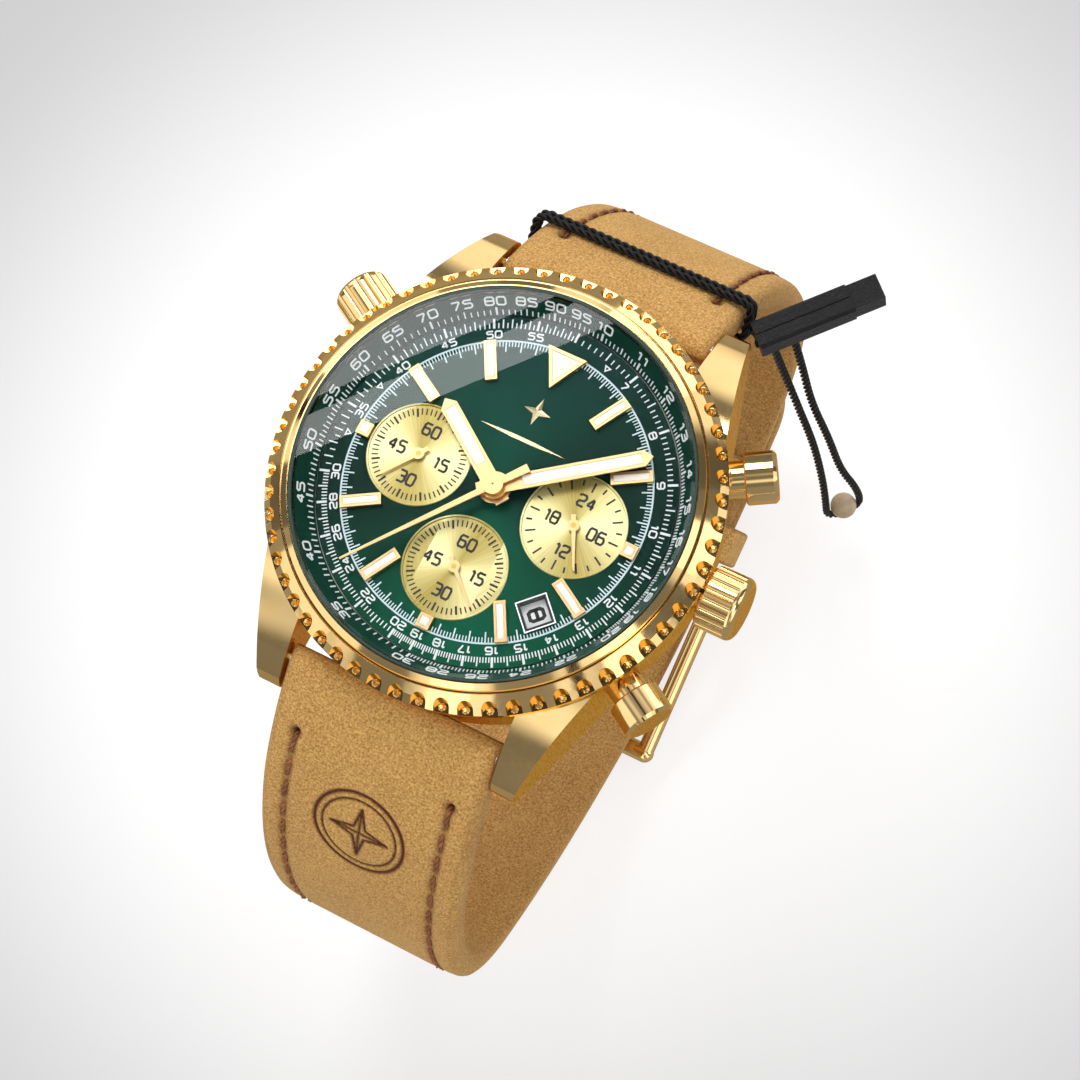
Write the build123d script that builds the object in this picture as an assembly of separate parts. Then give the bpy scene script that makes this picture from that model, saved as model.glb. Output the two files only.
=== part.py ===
from build123d import *
from math import atan2, cos, degrees, hypot, pi, radians, sin, sqrt, tan
import os

os.makedirs("parts", exist_ok=True)

# A 42 mm chronograph wristwatch on a closed leather strap. Millimetres. The origin is the centre of the
# case back's outer face, +Z runs out through the crystal, +X to 3 o'clock and +Y to 12 o'clock.

# ---- case, mm
bezel_radius = 21.0
case_radius = 20.3
case_bottom = 1.6
case_top = 8.3
case_back_radius = 19.0
case_back_spigot_height = 0.6
cavity_radius = 17.45
part_gap = 0.1
running_gap = 0.05

# ---- lugs and strap fixing
lug_width = 22.0
lug_tip_y = 23.7
spring_bar_y = 21.0
spring_bar_radius = 0.75
spring_bar_pin_radius = 0.4
lug_hole_depth = 1.2
spring_bar_height = 3.5845
lug_top = 7.9
lug_bottom = 1.0
lug_root_y = 8.0
lug_outer_x = 18.15
lug_tip_outer_x = 13.3

# ---- crystal and bezel
crystal_radius = 18.2
crystal_bottom = 10.4
crystal_thickness = 1.1
crystal_gasket_wall = 0.2
bezel_ledge_radius = 18.05
bezel_ledge_thickness = 0.28
bezel_lip_height = 0.6
bezel_inner_slope = (19.1, 10.6)
bezel_groove_radius = 19.15
bezel_groove_width = 0.15
bezel_groove_height = 10.32
bezel_crest = (19.4, 10.45)
bezel_shoulder = (20.3, 9.72)
bezel_tenon_inner = 19.3
bezel_tenon_outer = 19.6
bezel_tenon_depth = 0.4
scallop_count = 60
scallop_radius = 0.72
scallop_depth = 1.1
flange_top = 8.95
bead_radius = 0.36
bead_height = 0.62
bead_top_radius = 0.08

# ---- dial
dial_face = 8.0
dial_thickness = 0.4
dial_radius = 16.5
counter_offset = 7.95
counter_radius = 4.7
counter_disc_thickness = 0.15
counter_recess = 0.2
marker_height = 0.45
marker_outer_radius = 14.2
marker_rim = 0.22
marker_end_rim = 0.25
triangle_rim = 0.3
lume_depth = 0.12
baton_width = 1.1
baton_length = 3.8
square_side = 1.3
triangle_base = 3.9
triangle_length = 3.7
date_window_clock = 135.0
date_window_radius = 12.15
date_window_width = 2.3
date_frame_border = 0.35
counter_hole_radius = 0.4

# ---- slide-rule ring and its crown at 10 o'clock
rule_cone_low_radius = 16.62
rule_ring_outer_radius = 18.75
rule_ring_top = 10.05
rule_cone_top_radius = 18.0
rule_teeth = 120
rule_pinion_teeth = 8
rule_module = 0.3
rule_pitch_height = 6.5
rule_axis = rule_pitch_height - rule_module * rule_pinion_teeth / 2
rule_ring_wall_inner = 17.5
rule_crown_clock = 300.0
rule_crown_radius = 2.7
rule_crown_inner = 21.2
rule_crown_outer = 25.4
rule_crown_flutes = 14
rule_tube_radius = 1.2
rule_tube_end = 22.3
rule_stem_radius = 0.5
rule_stem_end = 24.2
rule_pinion_start = 17.52
rule_pinion_length = 1.2

# ---- winding crown and pushers
button_height = 5.2
crown_radius = 3.0
crown_inner = 20.9
crown_outer = 24.6
crown_flutes = 20
crown_tube_radius = 1.5
crown_tube_end = 22.4
crown_bore_end = 23.5
tube_inner_end = 18.95
stem_radius = 0.6
stem_inner = 9.2
stem_outer = 24.0
pusher_clocks = {"pusher_2": 60.0, "pusher_4": 120.0}
pusher_head_radius = 2.4
pusher_head_inner = 22.2
pusher_head_outer = 25.1
pusher_neck_radius = 1.7
pusher_neck_end = 22.3
pusher_spigot_radius = 1.1
pusher_spigot_end = 23.4
pusher_stem_radius = 0.5
pusher_stem_inner = 15.0
pusher_bore_end = 24.5
pusher_travel = 0.8
pusher_coil_radius = 1.4
pusher_wire_radius = 0.1

# ---- movement, with the modules of its wheels
movement_radius = 15.1
holder_bottom = 2.3
plate_bottom = 5.3
plate_top = 6.4
bridge_bottom = 2.9
bridge_top = 3.4
board_bottom = 2.5
board_thickness = 0.3
wheel_thickness = 0.2
coarse = 0.15
train_module = 0.14
counter_module = 0.13
fine = 0.12
finest = 0.066
arbor_radius = 0.25
small_arbor_radius = 0.15
battery_radius = 4.75
battery_height = 2.1
battery_place = (5.5, 8.6)
coil_radius = 0.75
coil_height = 4.5
stator_bottom = 3.45
stator_thickness = 0.25
magnet_radius = 0.6
date_ring_bottom = 7.26
date_ring_thickness = 0.24
date_ring_inner = 10.2
date_ring_outer = 14.3

# the bottom of each layer of wheels
layer_cannon = 6.45
layer_hour = 6.72
layer_day = 6.98
layer_third = 4.98
layer_center = 4.68
layer_fast = 4.38
layer_counter = 4.08
layer_chrono_idler = 3.78

# the three pipes at the centre, each turning inside the next
minute_pipe_radius = 0.6
minute_pipe_bore = 0.32
hour_pipe_radius = 1.05
hour_pipe_bore = 0.68

# ---- hands
hour_hand_bottom = 8.6
minute_hand_bottom = 9.05
chrono_hand_bottom = 9.5
hand_thickness = 0.2
hour_hand_length = 9.8
hour_hand_width = 1.6
hour_hub_radius = 1.5
minute_hand_length = 14.5
minute_hand_width = 1.5
minute_hub_radius = 1.2
hand_rim = 0.25
hand_tip_length = 0.8
hand_lume_start = 2.6
hand_lume_depth = 0.08
chrono_hand_length = 15.2
chrono_tail_length = 3.5
chrono_hand_thickness = 0.14
chrono_hub_radius = 0.95
chrono_hub_height = 0.26
small_hand_bottom = 8.2
small_hand_thickness = 0.12
hour_clock = 304.5
minute_clock = 54.0
chrono_clock = 218.0

# ---- strap loop, as seen from the side: Y across, Z up
strap_width = 21.6
strap_buckle_width = 20.0
strap_thickness = 2.8
arch_radius = 38.5
corner_radius = 14.0
corner_sweep = 65.0
strap_layer_gap = 0.3
buckle_angle = -82.8
crossover_angle = -84.0
tail_corner_sweep = 25.0
taper_start = -5.0
taper_end = -46.0
tail_hole_radius = 0.9
tail_hole_angle = -99.0
tail_hole_step = 6.0

# ---- buckle and keepers
buckle_bar_radius = 0.6
buckle_rod_radius = 0.9
buckle_cross_radius = 1.0
buckle_cross_angle = -98.5
tongue_radius = 0.6
tongue_eye_radius = 1.15
tongue_slot_width = 2.6
tongue_bend = (-4.6, -3.6)
tongue_knee = (-6.4, -6.3)
tail_slot_width = 2.0
tail_slot_length = 7.4
tail_slot_start = -0.2
keeper_wall = 1.1
keeper_width_angle = 3.2
fixed_keeper_angle = -77.0
free_keeper_angle = -71.0

# ---- hang tag
tag_cord_radius = 0.425
tag_wrap_angle = 44.4
tag_seal_start = (13.0, 25.0, 0.0)
tag_seal_clock = 41.8
tag_seal_body = (9.4, 2.9, 2.6)
tag_seal_end = (3.0, 2.5, 2.2)
tag_lead_spread = 0.5
tag_bead_radius = 1.4

# the hanging cord: down from the seal, round the bead and back up to the seal
tag_cord_route = [
    (13.9, 25.9, -1.3),
    (14.5, 26.1, -8.5),
    (15.9, 25.7, -17.5),
    (17.1, 25.6, -27.0),
    (17.9, 25.0, -35.5),
    (18.3, 24.4, -41.5),
    (18.25, 24.2, -47.2),
    (20.95, 27.2, -47.2),
    (20.6, 27.1, -41.5),
    (19.2, 26.6, -35.5),
    (18.2, 26.8, -27.0),
    (16.8, 26.7, -17.5),
    (15.9, 27.4, -8.5),
    (15.3, 27.5, -1.3),
]

BASE = (Align.CENTER, Align.CENTER, Align.MIN)
saved = []


def save(name, *solids):
    """Writes one named piece, or one group of like pieces."""
    body = solids[0] if len(solids) == 1 else Compound(children=list(solids))
    body.label = name
    export_step(body, f"parts/{name}.step")
    saved.append(name)


def disc(radius, low, high, x=0.0, y=0.0):
    return Pos(x, y, low) * Cylinder(radius, high - low, align=BASE)


def tube(outer, inner, low, high, x=0.0, y=0.0):
    return disc(outer, low, high, x, y) - disc(inner, low, high, x, y)


def turned(points):
    """A solid of revolution about Z from (radius, height) points."""
    return revolve(Plane.XZ * make_face(Polyline(*points, close=True)), Axis.Z)


def polar(radius, angle):
    return (radius * cos(radians(angle)), radius * sin(radians(angle)))


def clock_angle(clock):
    """The angle from +X of a direction given clockwise from 12 o'clock."""
    return 90.0 - clock


def radial(shape, clock, height):
    """Turns a shape made along +Z so that its axis runs outwards from the watch's centre line."""
    return Pos(0, 0, height) * Rot(0, 0, clock_angle(clock)) * Rot(0, 90, 0) * shape


def between(start, end, radius):
    """A rod between two points."""
    direction = Vector(*end) - Vector(*start)
    return Plane(origin=start, z_dir=direction) * Cylinder(radius, direction.length, align=BASE)


def meeting_point(first, first_radius, second, second_radius, side):
    """Where two circles cross: the place of a wheel that meshes with two others."""
    dx = second[0] - first[0]
    dy = second[1] - first[1]
    apart = hypot(dx, dy)
    along = (apart**2 + first_radius**2 - second_radius**2) / (2 * apart)
    off = side * sqrt(first_radius**2 - along**2)
    return (first[0] + (along * dx - off * dy) / apart, first[1] + (along * dy + off * dx) / apart)


def gear(teeth, module, low, place=(0.0, 0.0), phase=0.0, thickness=wheel_thickness):
    """A spur gear with one tooth centred at the phase angle."""
    root = module * (teeth / 2 - 1.1)
    tip = module * (teeth / 2 + 0.8)
    step = 360.0 / teeth
    points = []
    for n in range(teeth):
        for radius, share in ((root, -0.30), (tip, -0.13), (tip, 0.13), (root, 0.30)):
            points.append(polar(radius, phase + (n + share) * step))
    face = make_face(Polyline(*points, close=True))
    return Pos(place[0], place[1], low) * extrude(face, amount=thickness)


def meshing_phase(place, teeth, phase, partner_place, partner_teeth):
    """The phase at which a partner's gap faces this gear's tooth."""
    bearing = degrees(atan2(partner_place[1] - place[1], partner_place[0] - place[0]))
    past_tooth = ((bearing - phase) / (360.0 / teeth)) % 1.0
    return bearing + 180.0 - (0.5 - past_tooth) * 360.0 / partner_teeth


def spokes(place, low, outer, inner, count=4):
    """Openings that leave a wheel with spokes."""
    cutters = []
    for n in range(count):
        x, y = polar((outer + inner) / 2, 45.0 + 360.0 * n / count)
        cutters.append(disc((outer - inner) / 2, low - 0.1, low + 0.5, place[0] + x, place[1] + y))
    return cutters


# ---- the strap loop's side outline
half_width = strap_width / 2
arch_bar_radius = arch_radius - strap_thickness / 2
arch_center = (0.0, spring_bar_height - sqrt(arch_bar_radius**2 - spring_bar_y**2))
spring_bar_angle = degrees(atan2(spring_bar_height - arch_center[1], spring_bar_y))
corner_center_y = arch_radius - corner_radius
corner_center = (corner_center_y, arch_center[1])
far_corner_center = (-corner_center_y, arch_center[1])
bottom_radius = corner_radius + corner_center_y / cos(radians(corner_sweep))
bottom_center = (0.0, arch_center[1] + corner_center_y * tan(radians(corner_sweep)))
tail_radius = bottom_radius + strap_layer_gap + strap_thickness

# the arc on which the 6 o'clock half crosses from the wrist side to the outside of the 12 o'clock half
cross_direction = polar(1.0, crossover_angle)
to_bottom = (bottom_center[0] - far_corner_center[0], bottom_center[1] - far_corner_center[1])
reach = tail_radius - corner_radius
cross_shift = (to_bottom[0] ** 2 + to_bottom[1] ** 2 - reach**2) / (
    2 * (to_bottom[0] * cross_direction[0] + to_bottom[1] * cross_direction[1] + reach)
)
cross_radius = tail_radius + cross_shift
cross_center = (
    bottom_center[0] - cross_shift * cross_direction[0],
    bottom_center[1] - cross_shift * cross_direction[1],
)
to_far_corner = (far_corner_center[0] - cross_center[0], far_corner_center[1] - cross_center[1])
far_corner_end = degrees(atan2(to_far_corner[1], to_far_corner[0])) % 360.0


def arc_edge(center, radius, start, sweep):
    first = start if sweep > 0 else start + sweep
    return CenterArc(center, radius, first, abs(sweep))


def side_point(center, radius, angle):
    """A (Y, Z) point of the strap's side outline."""
    return (center[0] + radius * cos(radians(angle)), center[1] + radius * sin(radians(angle)))


def band(arcs, thickness, width):
    """A strap from arcs (center, outer radius, start angle, sweep), as seen from the side."""
    outer = [arc_edge(*arc) for arc in arcs]
    inner = [arc_edge(center, radius - thickness, start, sweep) for center, radius, start, sweep in arcs]
    ends = []
    for center, radius, angle in (
        (arcs[0][0], arcs[0][1], arcs[0][2]),
        (arcs[-1][0], arcs[-1][1], arcs[-1][2] + arcs[-1][3]),
    ):
        ends.append(Line(side_point(center, radius, angle), side_point(center, radius - thickness, angle)))
    face = make_face(outer + inner + ends)
    return extrude(Plane.YZ * face, amount=width, both=True)


def across(radius, y, z, width):
    """A rod along X, half on each side."""
    return Pos(0, y, z) * Rot(0, 90, 0) * Cylinder(radius, 2 * width)


def sector(center, inner, outer, start, end, width):
    """A block between two radii and two angles, as seen from the side."""
    return band([(center, outer, start, end - start)], outer - inner, width)


def strap_taper():
    """The plan taper of both halves, from the lugs to the buckle."""
    narrow = strap_buckle_width / 2
    above = spring_bar_height + strap_thickness
    below = bottom_center[1] - tail_radius - strap_thickness
    outline = [(half_width, above), (half_width, taper_start), (narrow, taper_end), (narrow, below)]
    outline += [(-x, z) for x, z in reversed(outline)]
    return extrude(Plane.XZ * make_face(Polyline(*outline, close=True)), amount=2 * arch_radius, both=True)


taper = strap_taper()
bar_y, bar_z = side_point(bottom_center, bottom_radius - strap_thickness / 2, buckle_angle)
cross_y, cross_z = side_point(
    cross_center, cross_radius + 2 * part_gap + buckle_cross_radius, buckle_cross_angle
)


def build_straps():
    strap_end_radius = strap_thickness / 2
    near = band(
        [
            (arch_center, arch_radius, spring_bar_angle, -spring_bar_angle),
            (corner_center, corner_radius, 0.0, -corner_sweep),
            (bottom_center, bottom_radius, -corner_sweep, buckle_angle + corner_sweep),
        ],
        strap_thickness,
        half_width,
    )
    near += across(strap_end_radius, spring_bar_y, spring_bar_height, half_width)
    near += across(strap_end_radius, bar_y, bar_z, half_width)
    near &= taper
    near -= across(spring_bar_radius + running_gap, spring_bar_y, spring_bar_height, strap_width)
    near -= across(buckle_bar_radius + running_gap, bar_y, bar_z, strap_width)
    tongue_slot_side = 2.5 * strap_thickness
    near -= Pos(0, bar_y, bar_z) * Box(tongue_slot_width, tongue_slot_side, tongue_slot_side)
    save("strap_12", near)

    tail_start = crossover_angle % 360.0
    tail_end = (-corner_sweep) % 360.0
    far = band(
        [
            (arch_center, arch_radius, 180.0 - spring_bar_angle, spring_bar_angle),
            (far_corner_center, corner_radius, 180.0, far_corner_end - 180.0),
            (cross_center, cross_radius, far_corner_end, tail_start - far_corner_end),
            (bottom_center, tail_radius, tail_start, tail_end - tail_start),
            (corner_center, tail_radius - bottom_radius + corner_radius, tail_end, tail_corner_sweep),
        ],
        strap_thickness,
        half_width,
    )
    far += across(strap_end_radius, -spring_bar_y, spring_bar_height, half_width)
    far &= taper
    far -= across(spring_bar_radius + running_gap, -spring_bar_y, spring_bar_height, strap_width)
    slot_y = bar_y + tail_slot_start - tail_slot_length / 2
    slot = Box(tail_slot_width, tail_slot_length, 4 * strap_thickness)
    far -= Pos(0, slot_y, bar_z + tongue_bend[1]) * slot
    for n in range(3):
        angle = tail_hole_angle - tail_hole_step * n
        y, z = side_point(cross_center, cross_radius, angle)
        far -= Pos(0, y, z) * Rot(angle + 90, 0, 0) * Cylinder(tail_hole_radius, 3 * strap_thickness)
    save("strap_6", far)

    bars = []
    for side in (1, -1):
        body = across(spring_bar_radius, side * spring_bar_y, spring_bar_height, half_width - part_gap)
        pin_reach = lug_width / 2 + lug_hole_depth - part_gap
        body += across(spring_bar_pin_radius, side * spring_bar_y, spring_bar_height, pin_reach)
        bars.append(body)
    save("spring_bars", *bars)


def build_buckle():
    arm_x = strap_width / 2 + buckle_rod_radius
    frame = across(buckle_bar_radius, bar_y, bar_z, arm_x)
    frame += across(buckle_cross_radius, cross_y, cross_z, arm_x)
    for side in (1, -1):
        start = (side * arm_x, bar_y, bar_z)
        end = (side * arm_x, cross_y, cross_z)
        frame += between(start, end, buckle_rod_radius)
        frame += Pos(*start) * Sphere(buckle_rod_radius)
        frame += Pos(*end) * Sphere(buckle_cross_radius)
    save("buckle_frame", frame)

    rest = side_point(
        cross_center,
        cross_radius + 3 * part_gap + 2 * buckle_cross_radius + tongue_radius,
        buckle_cross_angle,
    )
    bend = (bar_y + tongue_bend[0], bar_z + tongue_bend[1])
    knee = (bar_y + tongue_knee[0], bar_z + tongue_knee[1])
    points = [(0, bar_y, bar_z), (0, *bend), (0, *knee), (0, *rest)]
    tongue = across(tongue_eye_radius, bar_y, bar_z, tongue_radius + 0.4)
    for start, end in zip(points, points[1:]):
        tongue += between(start, end, tongue_radius)
        tongue += Pos(*end) * Sphere(tongue_radius)
    tongue -= across(buckle_bar_radius + running_gap, bar_y, bar_z, 5)
    save("buckle_tongue", tongue)

    inner = bottom_radius - strap_thickness - 2 * part_gap
    outer = tail_radius + 2 * part_gap
    hollow_width = strap_buckle_width / 2 + 0.45
    for name, middle in (("fixed_keeper", fixed_keeper_angle), ("free_keeper", free_keeper_angle)):
        start = middle - keeper_width_angle / 2
        end = middle + keeper_width_angle / 2
        keeper = sector(
            bottom_center, inner - keeper_wall, outer + keeper_wall, start, end, hollow_width + keeper_wall
        )
        keeper -= sector(bottom_center, inner, outer, start - 1, end + 1, hollow_width)
        save(name, keeper)


def build_tag():
    """The hang-tag cord that is tied round the 12 o'clock half, with its seal and hanging loop."""
    clear = tag_cord_radius + 0.15
    width = 2 * (half_width + clear)
    height = strap_thickness + 2 * clear
    turns = []
    spread = degrees((tag_cord_radius + 0.01) / arch_radius)
    for angle in (tag_wrap_angle - spread, tag_wrap_angle + spread):
        y, z = side_point(arch_center, arch_radius - strap_thickness / 2, angle)
        tangent = (0, -sin(radians(angle)), cos(radians(angle)))
        plane = Plane(origin=(0, y, z), x_dir=(1, 0, 0), z_dir=tangent)
        path = plane * RectangleRounded(width, height, 0.9).wire()
        section = Plane(origin=path @ 0, z_dir=path % 0) * Circle(tag_cord_radius)
        turns.append(sweep(section, path=path))
    y, z = side_point(arch_center, arch_radius - strap_thickness / 2, tag_wrap_angle)
    side_x = width / 2 + 0.05
    seal_direction = (*polar(1.0, clock_angle(tag_seal_clock)), 0.0)
    seal_plane = Plane(origin=tag_seal_start, x_dir=seal_direction, z_dir=(0, 0, 1))
    for lift in (-tag_lead_spread, tag_lead_spread):
        end = seal_plane.from_local_coords((0.0, lift, 0.0))
        turns.append(between((side_x + 0.45, y, z + lift), tuple(end), tag_cord_radius))
    save("tag_cord_wrap", *turns)

    length, breadth, depth = tag_seal_body
    end_length, end_breadth, end_depth = tag_seal_end
    seal = Pos(length / 2, 0, 0) * Box(length, breadth, depth)
    seal = chamfer(seal.edges().filter_by(Axis.X), 0.3)
    seal -= Pos(length / 2, 0, depth / 2) * Box(length, 0.12, 0.2)
    seal += Pos(length + end_length / 2, 0, 0) * Box(end_length, end_breadth, end_depth)
    save("tag_seal", seal_plane * seal)

    radii = []
    for before, corner, after in zip(tag_cord_route, tag_cord_route[1:], tag_cord_route[2:]):
        first = Vector(*corner) - Vector(*before)
        second = Vector(*after) - Vector(*corner)
        turn = radians(first.get_angle(second))
        radii.append(0.45 * min(first.length, second.length) / tan(turn / 2))
    path = FilletPolyline(*tag_cord_route, radius=radii)
    section = Plane(origin=path @ 0, z_dir=path % 0) * Circle(tag_cord_radius)
    drop = sweep(section, path=path)
    save("tag_cord_drop", drop)
    print("cord arcs, mm:", [round(radius, 1) for radius in radii])
    print("cord length, mm:", round(path.length, 2))
    print("cord volume, mm3:", round(drop.volume, 3))
    print("cord section times length, mm3:", round(pi * tag_cord_radius**2 * path.length, 3))

    left = tag_cord_route[6]
    right = tag_cord_route[7]
    middle = ((left[0] + right[0]) / 2, (left[1] + right[1]) / 2, left[2] + 2.1)
    save("tag_bead", Pos(*middle) * Sphere(tag_bead_radius))


def lug_shape():
    """One lug at +X, +Y: its side outline cut to its plan outline."""
    side = make_face(
        [
            ThreePointArc(
                (lug_root_y, lug_top), (lug_tip_y - 6.2, lug_top - 0.95), (lug_tip_y - 0.4, lug_bottom + 2.3)
            ),
            Line((lug_tip_y - 0.4, lug_bottom + 2.3), (lug_tip_y, lug_bottom + 1.4)),
            ThreePointArc(
                (lug_tip_y, lug_bottom + 1.4),
                (lug_tip_y - 0.12, lug_bottom + 0.35),
                (lug_tip_y - 0.9, lug_bottom),
            ),
            Line((lug_tip_y - 0.9, lug_bottom), (lug_root_y, lug_bottom)),
            Line((lug_root_y, lug_bottom), (lug_root_y, lug_top)),
        ]
    )
    inner_x = lug_width / 2
    end_y = lug_tip_y + 0.3
    plan = [
        (inner_x, lug_root_y),
        (lug_outer_x, lug_root_y),
        (lug_outer_x - 1.15, lug_root_y + 3.7),
        (lug_tip_outer_x, lug_tip_y - 0.1),
        (lug_tip_outer_x - 0.3, end_y),
        (inner_x, end_y),
    ]
    body = extrude(Plane.YZ * side, amount=lug_outer_x + part_gap)
    body &= extrude(make_face(Polyline(*plan, close=True)), amount=lug_top + part_gap)
    return body


def build_case():
    bore_start = cavity_radius - 1.5
    ledge = rule_pitch_height - 0.8 * rule_module - running_gap
    ring_pocket = rule_ring_outer_radius + part_gap
    outline = [
        (cavity_radius, case_bottom),
        (case_back_radius + 0.2, case_bottom),
        (case_radius, case_bottom + 1.0),
        (case_radius, case_top - 0.5),
        (case_radius - 0.3, case_top),
        (ring_pocket, case_top),
        (ring_pocket, ledge),
        (cavity_radius, ledge),
    ]
    case = turned(outline)
    lug = lug_shape()
    lugs = [lug, mirror(lug, Plane.YZ), mirror(lug, Plane.XZ), mirror(mirror(lug, Plane.YZ), Plane.XZ)]
    for piece in lugs:
        case += piece
    case -= disc(cavity_radius, 0, ledge)
    case -= disc(ring_pocket, ledge, crystal_bottom)
    case -= disc(case_back_radius + part_gap, 0, case_bottom)
    case -= tube(cavity_radius + 0.8, cavity_radius - 0.1, case_bottom, case_bottom + 0.55)
    tenon_gap = running_gap
    case -= tube(
        bezel_tenon_outer + tenon_gap, bezel_tenon_inner - tenon_gap,
        case_top - bezel_tenon_depth - tenon_gap, case_top + bezel_tenon_depth,
    )
    for side in (1, -1):
        case -= across(
            strap_thickness / 2 + 2.5 * part_gap, side * spring_bar_y, spring_bar_height, lug_width / 2
        )
        case -= Pos(0, side * (spring_bar_y + 5), spring_bar_height) * Box(lug_width, 10.0, 3.3)
        pin_reach = lug_width / 2 + lug_hole_depth
        case -= across(spring_bar_pin_radius, side * spring_bar_y, spring_bar_height, pin_reach)
    case -= radial(disc(crown_tube_radius, tube_inner_end, crown_tube_end), 90.0, button_height)
    case -= radial(disc(stem_radius + running_gap, bore_start, crown_tube_end), 90.0, button_height)
    for clock in pusher_clocks.values():
        neck_bore = disc(pusher_neck_radius, tube_inner_end, pusher_neck_end)
        stem_bore = disc(pusher_stem_radius + running_gap, bore_start, pusher_neck_end)
        case -= radial(neck_bore, clock, button_height)
        case -= radial(stem_bore, clock, button_height)
    case -= radial(disc(rule_tube_radius, tube_inner_end, rule_tube_end), rule_crown_clock, rule_axis)
    pinion_pocket = rule_module * (rule_pinion_teeth / 2 + 1) + part_gap
    case -= radial(disc(pinion_pocket, bore_start, tube_inner_end), rule_crown_clock, rule_axis)
    save("mid_case", case)

    back = disc(case_back_radius, 0, case_bottom)
    back = chamfer(back.edges().group_by(Axis.Z)[0], 0.5)
    back += disc(cavity_radius - part_gap, case_bottom, case_bottom + case_back_spigot_height)
    for n in range(6):
        x, y = polar(case_back_radius - 1.6, 60.0 * n)
        back -= Pos(x, y, 0.3) * Rot(0, 0, 60.0 * n) * Box(1.6, 2.2, 0.6)
    back -= tube(15.4, 15.0, 0, 0.15)
    save("case_back", back)

    back_seal = tube(cavity_radius + 0.75, cavity_radius - 0.05, case_bottom, case_bottom + 0.5)
    seal_outer = crystal_radius + crystal_gasket_wall
    front_seal = tube(seal_outer, crystal_radius, crystal_bottom, crystal_bottom + bezel_lip_height)
    save("gaskets", back_seal, front_seal)


def build_bezel():
    lip_radius = crystal_radius + crystal_gasket_wall
    lip_top = crystal_bottom + bezel_lip_height
    pocket = rule_ring_outer_radius + part_gap
    outline = [
        (bezel_ledge_radius, crystal_bottom - bezel_ledge_thickness),
        (bezel_ledge_radius, crystal_bottom),
        (lip_radius, crystal_bottom),
        (lip_radius, lip_top - 0.05),
        (lip_radius + 0.05, lip_top),
        (lip_radius + 0.15, lip_top),
        bezel_inner_slope,
        (bezel_groove_radius, bezel_groove_height),
        (bezel_groove_radius + bezel_groove_width, bezel_groove_height),
        bezel_crest,
        bezel_shoulder,
        (bezel_radius, flange_top + 0.05),
        (bezel_radius, case_top + 0.15),
        (bezel_radius - 0.15, case_top),
        (bezel_tenon_outer, case_top),
        (bezel_tenon_outer, case_top - bezel_tenon_depth),
        (bezel_tenon_inner, case_top - bezel_tenon_depth),
        (bezel_tenon_inner, case_top),
        (pocket, case_top),
        (pocket, crystal_bottom - bezel_ledge_thickness),
    ]
    bezel = turned(outline)
    center_radius = bezel_radius - scallop_depth + scallop_radius
    cutter = disc(scallop_radius, flange_top, lip_top + 1.0, center_radius)
    cutter += Pos(center_radius + 1.0, 0, flange_top) * Box(2.0, 2 * scallop_radius, 3.0, align=BASE)
    bead = Cone(bead_radius, bead_top_radius, bead_height, align=BASE)
    bead = Pos(center_radius - 0.1, 0, flange_top) * bead
    cutter -= bead
    cutters = [Rot(0, 0, 360.0 * (n + 0.5) / scallop_count) * cutter for n in range(scallop_count)]
    bezel -= cutters
    save("bezel", bezel)

    crystal = disc(crystal_radius, crystal_bottom, crystal_bottom + crystal_thickness)
    crystal = chamfer(crystal.edges().group_by(Axis.Z)[-1], 0.3)
    save("crystal", crystal)


def build_rule_ring():
    bottom = rule_pitch_height - 0.8 * rule_module
    root = rule_pitch_height + 1.1 * rule_module
    ring = turned(
        [
            (rule_cone_low_radius, dial_face + 0.02),
            (rule_cone_top_radius, rule_ring_top),
            (rule_ring_outer_radius, rule_ring_top),
            (rule_ring_outer_radius, bottom),
            (rule_ring_wall_inner, bottom),
            (rule_ring_wall_inner, dial_face - 0.25),
            (rule_cone_low_radius, dial_face - 0.25),
        ]
    )
    pitch = 2 * pi * (rule_ring_wall_inner + rule_ring_outer_radius) / 2 / rule_teeth
    gap = [(-0.37 * pitch, bottom - 0.1), (0.37 * pitch, bottom - 0.1), (0.37 * pitch, bottom)]
    gap += [(0.20 * pitch, root), (-0.20 * pitch, root), (-0.37 * pitch, bottom)]
    gap_length = rule_ring_outer_radius - rule_ring_wall_inner + 1.25
    gap_face = Plane.YZ * make_face(Polyline(*gap, close=True))
    cutter = Pos(rule_ring_wall_inner - 0.5, 0, 0) * extrude(gap_face, amount=gap_length)
    start = clock_angle(rule_crown_clock)
    ring -= [Rot(0, 0, start + 360.0 * n / rule_teeth) * cutter for n in range(rule_teeth)]
    save("rule_ring", ring)

    # a tooth of the pinion stands straight up, into the ring's gap
    pinion = gear(
        rule_pinion_teeth, rule_module, rule_pinion_start, phase=180.0, thickness=rule_pinion_length
    )
    stem = pinion + disc(rule_stem_radius, rule_pinion_start, rule_stem_end)
    save("rule_stem", radial(stem, rule_crown_clock, rule_axis))

    knob = disc(rule_crown_radius, rule_crown_inner, rule_crown_outer)
    knob = fillet(knob.edges().group_by(Axis.Z)[-1], 1.1)
    knob = chamfer(knob.edges().group_by(Axis.Z)[0], 0.3)
    knob -= disc(rule_tube_radius + 2 * running_gap, rule_crown_inner, rule_tube_end + 0.3)
    knob -= disc(rule_stem_radius, rule_crown_inner, rule_stem_end)
    flute = disc(0.5, rule_crown_inner - 1, rule_crown_outer - 0.2, rule_crown_radius + 0.28)
    knob -= [Rot(0, 0, 360.0 * n / rule_crown_flutes) * flute for n in range(rule_crown_flutes)]
    save("rule_crown", radial(knob, rule_crown_clock, rule_axis))


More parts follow.
